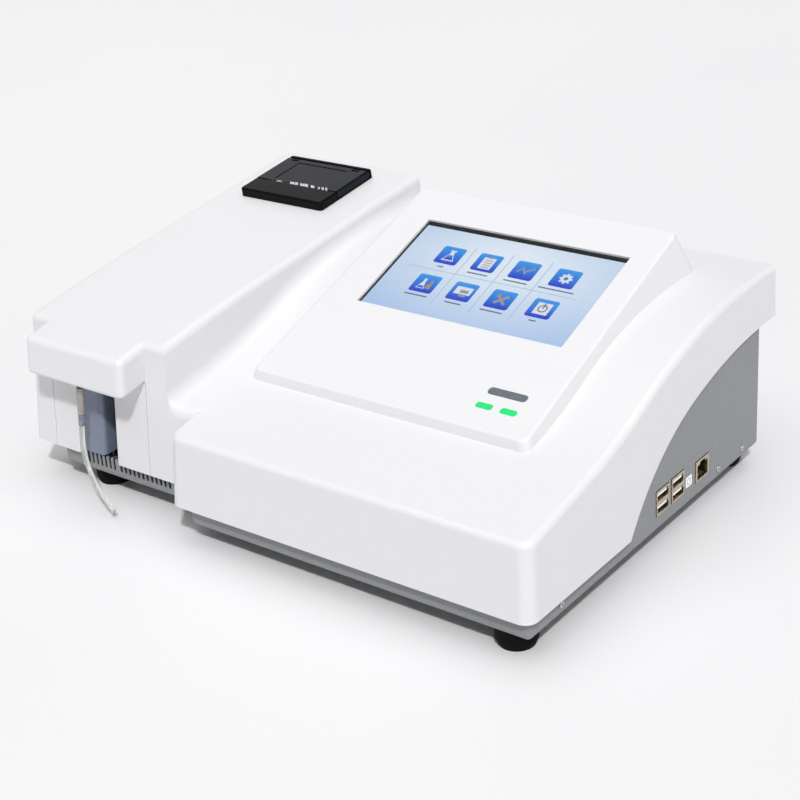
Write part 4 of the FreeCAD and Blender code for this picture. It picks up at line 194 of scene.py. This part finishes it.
silicone_shader.inputs["IOR"].default_value = 1.41
mottle(silicone, silicone_shader, "#eae9e5", "#f6f5f3", 6, 0.08, 0.16)
sipper_curve.materials.append(silicone)
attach(sipper_hose, "housing")
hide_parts("sipper_tube")

# Cap, sleeve and joint of the sipper: a black moulded nut in the nose, a grey-beige sleeve over the needle, and a
# clear tapered coupling that takes the tube.
cap_plastic, cap_shader = finish("moulded acetal, black", "#141414", 0.35)
mottle(cap_plastic, cap_shader, "#101010", "#1c1c1c", 3, 0.3, 0.42, 0.01)
dress(cap_plastic, "sipper_cap")
sleeve_plastic, sleeve_shader = finish("extruded nylon sleeve, grey-beige", "#9a9492", 0.42)
mottle(sleeve_plastic, sleeve_shader, "#928c8a", "#a29c9a", 4, 0.36, 0.48, 0.01)
dress(sleeve_plastic, "sipper_sleeve")
coupling, coupling_shader = finish("moulded polypropylene, translucent", "#9aa3b5", 0.22)
coupling_shader.inputs["Transmission Weight"].default_value = 0.5
mottle(coupling, coupling_shader, "#8791a6", "#a9b1c2", 3, 0.18, 0.3)
dress(coupling, "sipper_joint")

# The cover and the tower's front panel are injection-moulded ABS, white, with the fine satin grain of a
# spark-eroded tool. Light spreads softly on it, and only the rounded edges catch a brighter line.
white_abs, white_shader = finish("moulded ABS, white, fine satin grain", "#d8d8da", 0.36)
mottle(white_abs, white_shader, "#d7d7d9", "#dadadc", 1.1, 0.34, 0.41, 0.008, 3)
dress(white_abs, "main_cover", "front_panel")

# The tray and the rear panel are folded steel sheet, powder-coated grey. The coat has a low orange-peel relief
# and a fine fleck, and is satin.
powder_coat, powder_shader = finish("powder-coated sheet steel, grey", "#838587", 0.45)
mottle(powder_coat, powder_shader, "#7e8082", "#898b8d", 1.4, 0.4, 0.52, 0.02, 3)
dress(powder_coat, "base_tray", "rear_panel")

# A strip of black foam, pressed against the inside of the vents behind the stepped front, is painted shade: its ribs
# fill the slots to half their depth, so that they look black.
vent_shade_foam, vent_shade_foam_shader = finish("black sheet, painted vent shade", "#050505", 0.9)
vent_shade_foam_shader.inputs["Specular IOR Level"].default_value = 0.05
mottle(vent_shade_foam, vent_shade_foam_shader, "#030303", "#0a0a0a", 0.8, 0.85, 0.95, 0.05)
vent_slots = [(-0.1538, 7, 0.0252), (-0.1248, 12, 0.0294)]
slot_pitch, slot_width = 0.00385, 0.00195
strip_foot, strip_depth, strip_lap = 0.0172, 0.00096, 0.0006
rib_foot, rib_width = 0.0176, 0.0018
for number, (first, count, top) in enumerate(vent_slots):
    last = first + slot_pitch * (count - 1) + slot_width
    bpy.ops.object.select_all(action="DESELECT")
    bpy.ops.mesh.primitive_cube_add(size=1)
    shade_sheet = bpy.context.object
    shade_sheet.name = "vent_shade_sheet_%d" % number
    shade_sheet.data.transform(Matrix.Translation(((first + last) / 2, -0.11455, (strip_foot + top) / 2))
                                @ Matrix.Diagonal((last - first + 2 * strip_lap, strip_depth, top - strip_foot, 1)))
    bpy.ops.object.mode_set(mode="EDIT")
    for slot_number in range(count):
        middle = first + slot_pitch * slot_number + slot_width / 2
        bpy.ops.mesh.primitive_cube_add(size=1, location=(middle, -0.1155, (rib_foot + top) / 2),
                                        scale=(rib_width, strip_depth, top - rib_foot))
    bpy.ops.mesh.select_all(action="SELECT")
    bpy.ops.mesh.bevel(offset=0.0001, segments=1)
    bpy.ops.object.mode_set(mode="OBJECT")
    shade_sheet.data.materials.append(vent_shade_foam)
    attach(shade_sheet, "housing")

# Four feet of black moulded rubber, each held by one screw from below. The rubber is matt and nearly black, with
# a faint grain.
foot_rubber, foot_shader = finish("moulded nitrile rubber, black", "#060606", 0.7)
foot_shader.inputs["Specular IOR Level"].default_value = 0.12
mottle(foot_rubber, foot_shader, "#040404", "#0b0b0b", 2.2, 0.65, 0.8, 0.03)
dress(foot_rubber, "feet")

# The push key of the sampler is moulded ABS in blue-grey, a little glossier than the cover. It hangs in its
# channel from a steel pin, and is pressed against a spring to start a measurement.
key_abs, key_shader = finish("moulded ABS, blue-grey", "#727c8e", 0.3)
mottle(key_abs, key_shader, "#6c7688", "#798395", 1.2, 0.27, 0.36, 0.01, 3)
dress(key_abs, "sampler_key")

# The black moulded pieces are near-black ABS with a fine texture: the key's bracket and switch, the printer, the
# fan, the mains fittings and the pump head. Only their tops catch a grey sheen, from the light behind.
black_abs, black_shader = finish("moulded ABS, black, fine texture", "#09090b", 0.3)
black_shader.inputs["Specular IOR Level"].default_value = 0.08
mottle(black_abs, black_shader, "#070709", "#0c0c0f", 1.0, 0.26, 0.36, 0.006, 3)
dress(black_abs, "key_bracket", "key_switch", "printer_bezel", "print_head", "rocker_frame", "fan_frame",
      "fan_rotor", "waste_outlet", "light_detector", "pump_head", "mains_inlet", "rocker")

# Pins, springs, screws, brackets and motor cases are zinc-plated steel, bright passivated, which leaves a slight
# cloudiness in its reflections.
plated_steel, plated_shader = finish("zinc-plated steel, bright passivated", "#c9cbcf", 0.3, 1.0)
mottle(plated_steel, plated_shader, "#b9bcc2", "#dcdde0", 2.5, 0.22, 0.4)
dress(plated_steel, "key_pivot_pin", "key_spring", "lid_pin", "screws", "spacers_and_nuts", "tear_bar",
      "lcd_bracket", "fan_guard", "filter_motor", "pump_motor", "pump_rotor")

# The touch panel behind the window is a sheet of polished glass, clear but for its reflections. It is bonded to
# the front of the display.
cover_glass, glass_shader = finish("cover glass, polished", "#ffffff", 0.03)
glass_shader.inputs["Transmission Weight"].default_value = 1
glass_shader.inputs["IOR"].default_value = 1.5
mottle(cover_glass, glass_shader, "#fafdfe", "#ffffff", 30, 0.02, 0.05)
dress(cover_glass, "touch_glass")

# The display is a flat module with a black stamped steel frame, held to the console from behind. Its face lies
# along the console's, which rises to the rear.
module_wide, module_deep, module_thick, module_level = 0.163, 0.098, 0.0037, -0.0052
bpy.ops.object.select_all(action="DESELECT")
bpy.ops.mesh.primitive_cube_add(size=1)
display_module = bpy.context.object
display_module.name = "display_module"
display_module.data.transform(Matrix.Translation((0, 0, module_level))
                              @ Matrix.Diagonal((module_wide, module_deep, module_thick, 1)))
bpy.ops.object.mode_set(mode="EDIT")
bpy.ops.mesh.select_all(action="SELECT")
bpy.ops.mesh.bevel(offset=0.0006, segments=2)
bpy.ops.object.mode_set(mode="OBJECT")
module_black, module_shader = finish("stamped steel frame, black", "#0c0c0e", 0.45)
module_shader.inputs["Specular IOR Level"].default_value = 0.15
mottle(module_black, module_shader, "#050506", "#0c0c0e", 4, 0.4, 0.5)
display_module.data.materials.append(module_black)


def turned(degrees, axis):
    """A turn about one axis, in degrees."""
    return Matrix.Rotation(math.radians(degrees), 4, axis)


def leaned(slope, place):
    """The frame of a face that rises to the rear by a slope, in degrees, round a point in metres."""
    return Matrix.Translation(place) @ turned(slope, "X")


def settle(piece, placed):
    """Moves a finished piece from its own flat frame to its place, which goes into its mesh."""
    piece.data.transform(placed @ piece.matrix_world)
    piece.matrix_world = Matrix.Identity(4)


console_face = leaned(19.7, (0.0579, 0.036869, 0.127966))
settle(display_module, console_face)
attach(display_module, "housing")
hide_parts("lcd_panel")

# The picture, lit from behind, is a pale blue ground with eight blue tiles in two rows and fine lines between
# them. Each tile has a simple sign on it, drawn with tapered bars, and a short bar under it.
picture_ground, ground_shader = finish("liquid crystal display, pale blue ground, lit", "#050506", 0.3)
ground_place = add(picture_ground, "ShaderNodeTexCoord").outputs["UV"]
ground_middle = add(picture_ground, "ShaderNodeMapping", {"Vector": ground_place, "Location": (-0.5, -0.74, 0)})
ground_fade = add(picture_ground, "ShaderNodeTexGradient", {"Vector": ground_middle.outputs["Vector"]},
                  gradient_type="SPHERICAL")
ground_ramp = add(picture_ground, "ShaderNodeValToRGB", {"Fac": ground_fade.outputs["Fac"]})
ground_ramp.color_ramp.elements[0].position = 0.12
ground_ramp.color_ramp.elements[0].color = linear("#a6c4ec")
ground_ramp.color_ramp.elements[1].position = 0.85
ground_ramp.color_ramp.elements[1].color = linear("#e2ecf8")
picture_ground.node_tree.links.new(ground_ramp.outputs["Color"], ground_shader.inputs["Emission Color"])
ground_shader.inputs["Emission Strength"].default_value = 1.02

tile_blue, tile_shader = finish("liquid crystal display, blue tile, lit", "#050506", 0.5)
tile_place = add(tile_blue, "ShaderNodeSeparateXYZ", {"Vector": add(tile_blue, "ShaderNodeTexCoord").outputs["UV"]})
tile_ramp = add(tile_blue, "ShaderNodeValToRGB", {"Fac": tile_place.outputs["Y"]})
tile_ramp.color_ramp.elements[0].color = linear("#1230d6")
tile_ramp.color_ramp.elements[1].color = linear("#30a4fa")
tile_blue.node_tree.links.new(tile_ramp.outputs["Color"], tile_shader.inputs["Emission Color"])
tile_shader.inputs["Emission Strength"].default_value = 0.9


def flat(side_mm, up_mm, wide, high, level, material, corner=0.0, angle=0.0, taper=1.0):
    """A thin flat mark in a face's own frame, in mm: its middle, size, height above the face and corner radius."""
    bpy.ops.object.select_all(action="DESELECT")
    bpy.ops.mesh.primitive_plane_add(size=1, calc_uvs=True)
    mark = bpy.context.object
    for vertex in mark.data.vertices:
        narrow = taper if vertex.co.y > 0 else 1
        vertex.co = (vertex.co.x * wide * narrow / 1000, vertex.co.y * high / 1000, 0)
    if corner:
        bpy.ops.object.mode_set(mode="EDIT")
        bpy.ops.mesh.select_all(action="SELECT")
        bpy.ops.mesh.bevel(offset=corner / 1000, segments=4, affect="VERTICES")
        bpy.ops.object.mode_set(mode="OBJECT")
    mark.data.transform(Matrix.Translation((side_mm / 1000, up_mm / 1000, level / 1000)) @ turned(angle, "Z"))
    mark.data.materials.append(material)
    return mark


def disc(side_mm, up_mm, radius, hole, level, material):
    """A flat round mark or ring in a face's own frame, in mm."""
    bpy.ops.object.select_all(action="DESELECT")
    bpy.ops.mesh.primitive_circle_add(vertices=28, radius=radius / 1000, fill_type="NGON",
                                      location=(side_mm / 1000, up_mm / 1000, level / 1000))
    mark = bpy.context.object
    if hole:
        bpy.ops.object.mode_set(mode="EDIT")
        bpy.ops.mesh.select_all(action="SELECT")
        bpy.ops.mesh.inset(thickness=(radius - hole) / 1000)
        bpy.ops.mesh.delete(type="FACE")
        bpy.ops.object.mode_set(mode="OBJECT")
    mark.data.transform(mark.matrix_world)
    mark.matrix_world = Matrix.Identity(4)
    mark.data.materials.append(material)
    return mark


def joined(name, marks):
    """One object of several, under the first one's place."""
    bpy.ops.object.select_all(action="DESELECT")
    for mark in marks:
        mark.select_set(True)
    bpy.context.view_layer.objects.active = marks[0]
    bpy.ops.object.join()
    marks[0].name = name
    return marks[0]


def lit(name, colour, strength):
    """A lit spot of the display, in one colour."""
    material, shader = finish(name, "#050506", 0.3)
    shader.inputs["Emission Color"].default_value = linear(colour)
    shader.inputs["Emission Strength"].default_value = strength
    mottle(material, shader, "#040405", "#070708", 1, 0.26, 0.34)
    return material


line_blue = lit("liquid crystal display, fine line, lit", "#bccfe6", 0.9)
white = lit("liquid crystal display, white sign, lit", "#e6eaf2", 0.95)
grey = lit("liquid crystal display, grey sign, lit", "#9aa0ac", 0.9)
tan = lit("liquid crystal display, tan sign, lit", "#b39a7c", 0.9)
ink = lit("liquid crystal display, dark sign, lit", "#4a5f88", 0.9)

ground_level, line_level, tile_level, pale_level, dark_level, ring_level = -3.28, -3.26, -3.24, -3.22, -3.20, -3.19
line_gauge = 0.7
picture = [flat(1.3, -2.7, 149.4, 82.6, ground_level, picture_ground)]
picture += [flat(side, -0.8, line_gauge, 56, line_level, line_blue) for side in (-27.6, 0.3, 28.4)]
picture += [flat(-2.1, 0.4, 123, line_gauge, line_level, line_blue)]
tiles = [(-40.7, 15.2), (-12.9, 15.3), (14.9, 15.3), (43.8, 15.5),
         (-41.2, -12.8), (-13.2, -13), (14.6, -12.7), (44, -12.7)]
tile_wide, tile_high, tile_corner = 17.0, 16.2, 1.7
bar_high, bar_corner, bar_drop = 1.0, 0.3, 11
for (side, up_mm), wide in zip(tiles, [4.5, 15, 17, 25, 17, 12, 16, 5]):
    picture.append(flat(side - 0.3, up_mm, tile_wide, tile_high, tile_level, tile_blue, corner=tile_corner))
    picture.append(flat(side - 0.8, up_mm - bar_drop, wide, bar_high, tile_level, ink, corner=bar_corner))
sign_scale = 1.12
signs = [
    # a flask with some liquid in it
    [(0, -1.6, 8.4, 5.6, 0, 0.35, white), (0, 2.2, 2.6, 2.6, 0, 1, white), (0, 4, 4, 0.9, 0, 1, white),
     (0, -1.2, 5.6, 3.4, 0, 0.5, tile_blue), (0, -3.2, 6.4, 0.7, 0, 0.95, ink)],
    # a sheet with written lines and a clip
    [(0, -0.4, 8, 9.4, 0, 1, white), (0, 4.4, 3.4, 1.2, 0, 1, grey)]
    + [(0.4, 2 - 1.9 * i, 5, 0.6, 0, 1, grey) for i in range(4)],
    # a rising line
    [(-3, 0.2, 1.1, 5.4, -35, 1, grey), (-0.4, -0.4, 1.1, 5.4, 35, 1, grey), (2.8, 1, 1.3, 6.4, -50, 1, grey)],
    # a gear
    [(2.9 * math.sin(i * math.pi / 4), 2.9 * math.cos(i * math.pi / 4), 1.5, 2.4, -45 * i, 0.8, white)
     for i in range(8)],
    # a flask and a bag
    [(-1.8, -1.6, 5.6, 5.4, 0, 0.3, white), (-1.8, 2.4, 1.8, 2.8, 0, 1, white),
     (-1.8, -2.8, 4.4, 2, 0, 0.7, tile_blue), (2.8, -1.8, 3.6, 4, 0, 0.7, tan), (3.2, 1.8, 2, 2, 20, 1, tan)],
    # a screen with a drawer
    [(0, 0.8, 10.6, 6, 0, 1, white), (1.2, -3, 4.4, 2, 0, 0.85, grey), (0.8, 0.2, 5.4, 2.4, 0, 1, grey)],
    # a crossed wrench and driver
    [(0, 0, 1.7, 9.6, 45, 1, tan), (0, 0, 1.9, 9, -45, 1, grey), (-2.9, 2.9, 3, 1.4, 45, 1, tan),
     (2.8, 2.8, 3, 1.6, -45, 0.7, grey)],
    # an on and off sign on a light square
    [(0, 0, 9, 9, 0, 1, white), (0, 2.2, 0.8, 4.2, 0, 1, ink)],
]
for (side, up_mm), bars in zip(tiles, signs):
    for dx, dy, wide, high, angle, taper, material in bars:
        level = pale_level if material in (white, tan) else dark_level
        picture.append(flat(side + dx * sign_scale, up_mm + dy * sign_scale, wide * sign_scale, high * sign_scale,
                            level, material, angle=angle, taper=taper))
picture.append(disc(*tiles[3], 3.5, 1.5, ring_level, white))
picture.append(disc(*tiles[7], 3.2, 2.4, ring_level, ink))
screen_picture = joined("screen_picture", picture)
settle(screen_picture, console_face)
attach(screen_picture, "housing")

# The indicator window is a bar of satin grey plastic, and the two lenses in front of it are lit green by the small
# board behind them.
bar_plastic, bar_shader = finish("moulded polycarbonate, satin grey", "#5a6168", 0.35)
mottle(bar_plastic, bar_shader, "#545b62", "#61686f", 3, 0.3, 0.4)
dress(bar_plastic, "indicator_bar")
green_lens, lens_shader = finish("moulded polycarbonate lens, lit green", "#0a3a26", 0.25)
lens_shader.inputs["Emission Color"].default_value = linear("#08ec7e")
lens_shader.inputs["Emission Strength"].default_value = 0.9
mottle(green_lens, lens_shader, "#08331f", "#0c4229", 1.5, 0.2, 0.3)
dress(green_lens, "indicator_lenses")

# Circuit boards are glass-fibre laminate under green solder resist, which is smooth and slightly cloudy. The small
# one carries the indicators, and the main one stands on spacers.
resist, resist_shader = finish("glass-epoxy board, green resist", "#17512f", 0.35)
mottle(resist, resist_shader, "#124628", "#1d5c37", 5, 0.28, 0.42, 0.02)
dress(resist, "indicator_board", "main_board")

# The printer's lid is smoked polycarbonate, polished, nearly black with a blue cast, and its top mirrors the light
# behind as an even grey. It carries a roller of ground black rubber, and closes over a roll of thermal paper.
smoked, smoked_shader = finish("moulded polycarbonate, smoked, polished", "#11131c", 0.14)
smoked_shader.inputs["Specular IOR Level"].default_value = 0.12
mottle(smoked, smoked_shader, "#0f111a", "#151722", 9, 0.1, 0.2)
dress(smoked, "printer_lid")
platen_rubber, platen_shader = finish("ground nitrile rubber, black", "#1b1b1b", 0.6)
mottle(platen_rubber, platen_shader, "#141414", "#222222", 1.5, 0.5, 0.7, 0.01)
dress(platen_rubber, "platen_roller")
thermal_paper, paper_shader = finish("thermal paper, smooth white", "#ebedf3", 0.5)
mottle(thermal_paper, paper_shader, "#e6e8ee", "#f0f2f7", 2, 0.45, 0.58, 0.01)
dress(thermal_paper, "paper_roll")

# The end of the paper stands a little out of the slot between the strip and the lid, where it was torn off on the
# saw-toothed bar, and has ragged bits left on it.
printer_face = leaned(7.1, (-0.1375, 0.098, 0.139375))
torn_bits = [(-15.5, 6.2, 0.5), (-3.4, 5.4, 1.1), (0.4, 3.0, 1.5), (5.2, 4.8, 1.2), (8.9, 4.2, 1.5), (14.6, 4.2, 1.3),
             (20.2, 2.2, 1.0), (23.6, 2.6, 1.2), (26.8, 2.2, 1.5)]
bit_root, bit_lean, strip_lean = 2.6, 80, 85
paper_bits = []
for side, wide, out in torn_bits:
    bit = flat(side, 0, wide, bit_root + out, 0, thermal_paper, taper=0.72)
    bit.data.transform(Matrix.Translation((0, -0.01067, 0.0049 + out / 2000)) @ turned(bit_lean, "X"))
    paper_bits.append(bit)
strip = flat(4.5, 0, 46, 3.2, 0, thermal_paper)
strip.data.transform(Matrix.Translation((0, -0.0107, 0.0040)) @ turned(strip_lean, "X"))


def thicken(sheet, gauge_mm):
    """Gives the active flat piece the thickness of its sheet."""
    bpy.ops.object.modifier_add(type="SOLIDIFY")
    sheet.modifiers["Solidify"].thickness = gauge_mm / 1000
    bpy.ops.object.modifier_apply(modifier="Solidify")


paper_end = joined("paper_end", paper_bits + [strip])
thicken(paper_end, 0.08)
settle(paper_end, printer_face)
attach(paper_end, "housing")

# The borders of the lid's window show as thin dark lines on its polished top, where the window is let into the
# lid's frame.
seam_shade, seam_shader = finish("window joint, shaded", "#15161b", 0.35)
mottle(seam_shade, seam_shader, "#121318", "#1b1c22", 2, 0.3, 0.4)
window_seams = joined("window_seams", [flat(side, 6.4, 0.35, 26, 6.42, seam_shade) for side in (-22.4, 22.4)])
settle(window_seams, printer_face)
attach(window_seams, "printer_lid")

# Sockets in the right wall: stamped shells with a nickel plating that reflects the bench in warm beige, and
# tongues of moulded nylon, natural white and satin. The pump's three rollers are of the same nylon.
nickel, nickel_shader = finish("stamped steel shell, nickel-plated", "#c2b49a", 0.28, 1.0)
mottle(nickel, nickel_shader, "#b5a689", "#d2c6b0", 3, 0.2, 0.36)
dress(nickel, "usb_sockets", "network_socket")
nylon, nylon_shader = finish("moulded nylon, natural white", "#efeeea", 0.4)
mottle(nylon, nylon_shader, "#e8e7e2", "#f5f4f1", 2, 0.35, 0.48, 0.01)
dress(nylon, "usb_tongues", "pump_roller_a", "pump_roller_b", "pump_roller_c")

# Each USB mouth is lined with a thin black box, painted shade for the dark inside of the mouth round its tongue, and
# the network mouth has a black insert with eight gilt springs that lean back from its floor.
black_insert_and_mouth_shade, insert_and_shade_shader = finish("moulded polyamide insert, black, and painted mouth shade", "#0b0b0c", 0.5)
mottle(black_insert_and_mouth_shade, insert_and_shade_shader, "#08080a", "#121214", 1.5, 0.42, 0.6, 0.01)


def liner(name, near, far, gauge):
    """An open-fronted box that lines a mouth in the right wall, between two corners in mm."""
    bpy.ops.object.select_all(action="DESELECT")
    bpy.ops.mesh.primitive_cube_add(size=1)
    lined = bpy.context.object
    size = [(b - a) / 1000 for a, b in zip(near, far)]
    middle = [(a + b) / 2000 for a, b in zip(near, far)]
    lined.data.transform(Matrix.Translation(middle) @ Matrix.Diagonal((*size, 1)))
    bpy.ops.object.mode_set(mode="EDIT")
    bpy.ops.mesh.select_all(action="DESELECT")
    bpy.ops.object.mode_set(mode="OBJECT")
    for face in lined.data.polygons:
        face.select = face.normal.x > 0.5
    bpy.ops.object.mode_set(mode="EDIT")
    bpy.ops.mesh.delete(type="FACE")
    bpy.ops.object.mode_set(mode="OBJECT")
    thicken(lined, gauge)
    lined.name = name
    lined.data.materials.append(black_insert_and_mouth_shade)
    return lined


# The USB liners are painted shade: open black boxes that stand for the shade inside each mouth.
mouths = [(middle, floor) for middle in (3.45, 21.15) for floor in (23.65, 31.65)]
mouth_half = 6.2
for number, (middle, floor) in enumerate(mouths):
    near, far = (182.6, middle - mouth_half, floor + 0.05), (192.9, middle + mouth_half, floor + 5.15)
    mouth = liner("usb_shade_liner_%d" % number, near, far, 0.15)
    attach(mouth, "housing")
network_liner = liner("network_liner", (181.7, 44.5, 23.5), (192.8, 56.7, 32.7), 0.3)
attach(network_liner, "housing")
gilt, gilt_shader = finish("phosphor bronze wire, gilt", "#b3914a", 0.25, 1.0)
mottle(gilt, gilt_shader, "#a5823c", "#c4a35c", 1.5, 0.2, 0.3)
spring_pitch, spring_gauge, spring_lean = 1.02, 0.32, -66
springs = []
for number in range(8):
    bpy.ops.object.select_all(action="DESELECT")
    bpy.ops.mesh.primitive_cylinder_add(vertices=10, radius=spring_gauge / 2000, depth=0.0098, end_fill_type="NGON")
    spring = bpy.context.object
    bpy.ops.object.mode_set(mode="EDIT")
    bpy.ops.mesh.select_all(action="SELECT")
    bpy.ops.mesh.bevel(offset=0.00004, segments=1)
    bpy.ops.object.mode_set(mode="OBJECT")
    spring.data.transform(Matrix.Translation((0.1882, (50.6 + (number - 3.5) * spring_pitch) / 1000, 0.0262))
                          @ turned(spring_lean, "Y"))
    spring.data.materials.append(gilt)
    springs.append(spring)
network_springs = joined("network_springs", springs)
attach(network_springs, "housing")

# Between the sockets sits a small self-adhesive label of white polyester film, bare but for a thin grey ring. The
# film is smooth and a little brighter than the cover.
label_film, label_shader = finish("polyester label film, white", "#f4f4f2", 0.3)
mottle(label_film, label_shader, "#eeeeec", "#f8f8f7", 2, 0.26, 0.36)
label_ink, ink_shader = finish("screen ink, grey", "#9a9c9f", 0.5)
mottle(label_ink, ink_shader, "#929497", "#a3a5a8", 1, 0.45, 0.55)
wall_label = flat(0, 0, 7.2, 6.8, 0, label_film, corner=0.9)
thicken(wall_label, 0.12)
wall_label = joined("wall_label", [wall_label, disc(0, 0, 2.2, 1.7, 0.02, label_ink)])
wall_label.data.transform(Matrix.Translation((0.19416, 0.0346, 0.0275)) @ turned(90, "Z") @ turned(90, "X"))
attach(wall_label, "housing")

# The pan heads of the screws in the side wall and the rear panel have a cross recess, drawn as a flat dark cross of
# painted shade on the plated steel. Each was left at its own angle when it was tightened.
recess_shade, recess_shader = finish("cross recess, painted shade", "#1d1d1f", 0.5, 0.6)
mottle(recess_shade, recess_shader, "#161618", "#2a2a2d", 1, 0.4, 0.6)
fan_rim = [(side, up_mm) for side in (-25, 25) for up_mm in (39, 89)]
side_turn, rear_turn = 90, 180
heads = [((194.83, y, 19), side_turn) for y in (-104.8, 71, 102)]
heads += [((x, 123.83, 24), rear_turn) for x in (-150, -44, 62, 168)]
heads += [((x, 125.33, 50), rear_turn) for x in (130, 170)] + [((x, 124.83, z), rear_turn) for x, z in fan_rim]
recesses = []
for number, (place, wall_turn) in enumerate(heads):
    facing = turned(wall_turn, "Z") @ turned(90, "X") @ turned(37 * number, "Z")
    for angle in (0, 90):
        arm = flat(0, 0, 2.1, 0.42, 0, recess_shade, angle=angle)
        arm.data.transform(Matrix.Translation([v / 1000 for v in place]) @ facing)
        recesses.append(arm)
screw_recesses = joined("screw_recesses", recesses)
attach(screw_recesses, "housing")

# The mains rocker is marked in white paint: a stroke on its flush half for on, a ring on the raised half for off.
# The marks are pad-printed on the rocker, and tilt with it.
rocker_paint, paint_shader = finish("pad-printed paint, white", "#e9e9e6", 0.45)
mottle(rocker_paint, paint_shader, "#e0e0dc", "#f0f0ee", 1, 0.4, 0.5)
flush_slope, raised_slope = 90, 72
stroke = flat(0, 0, 0.8, 3.8, 0, rocker_paint, corner=0.2)
stroke.data.transform(Matrix.Translation((0.105, 0.12363, 0.0543)) @ turned(rear_turn, "Z") @ turned(flush_slope, "X"))
ring = disc(0, 0, 2.0, 1.35, 0, rocker_paint)
ring.data.transform(Matrix.Translation((0.105, 0.124845, 0.046666))
                    @ turned(rear_turn, "Z") @ turned(raised_slope, "X"))
rocker_marks = joined("rocker_marks", [stroke, ring])
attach(rocker_marks, "rocker")

# The three pins of the mains inlet are turned brass with a thin flash of nickel, so they are bright with a warm
# cast.
brass, brass_shader = finish("brass pins, nickel-flashed", "#d0b878", 0.25, 1.0)
mottle(brass, brass_shader, "#c4aa68", "#dcc68c", 2, 0.2, 0.32)
dress(brass, "inlet_pins")

# The optical bench and its holders, the power supply's case and the pump's bracket are milled aluminium, left
# bare, with a fine cloudiness from the cutter.
aluminium, aluminium_shader = finish("milled aluminium, bare", "#c6c8cb", 0.32, 1.0)
mottle(aluminium, aluminium_shader, "#b9bbbf", "#d3d4d7", 2.2, 0.25, 0.42, 0.01)
dress(aluminium, "power_supply", "optical_bench", "lamp_housing", "lens_tube", "filter_wheel", "cell_block",
      "pump_bracket")

# The lamp, the filters and the flow cell in the light path are polished fused quartz, clear and colourless. The
# tubes inside are the same clear silicone tube as the sipper's.
quartz, quartz_shader = finish("fused quartz, polished", "#eef2f6", 0.04)
quartz_shader.inputs["Transmission Weight"].default_value = 0.9
quartz_shader.inputs["IOR"].default_value = 1.46
mottle(quartz, quartz_shader, "#e9eef3", "#f4f7fa", 5, 0.03, 0.06)
dress(quartz, "lamp", "optical_filters", "flow_cell")
dress(silicone, "inner_tubes")

low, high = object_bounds()
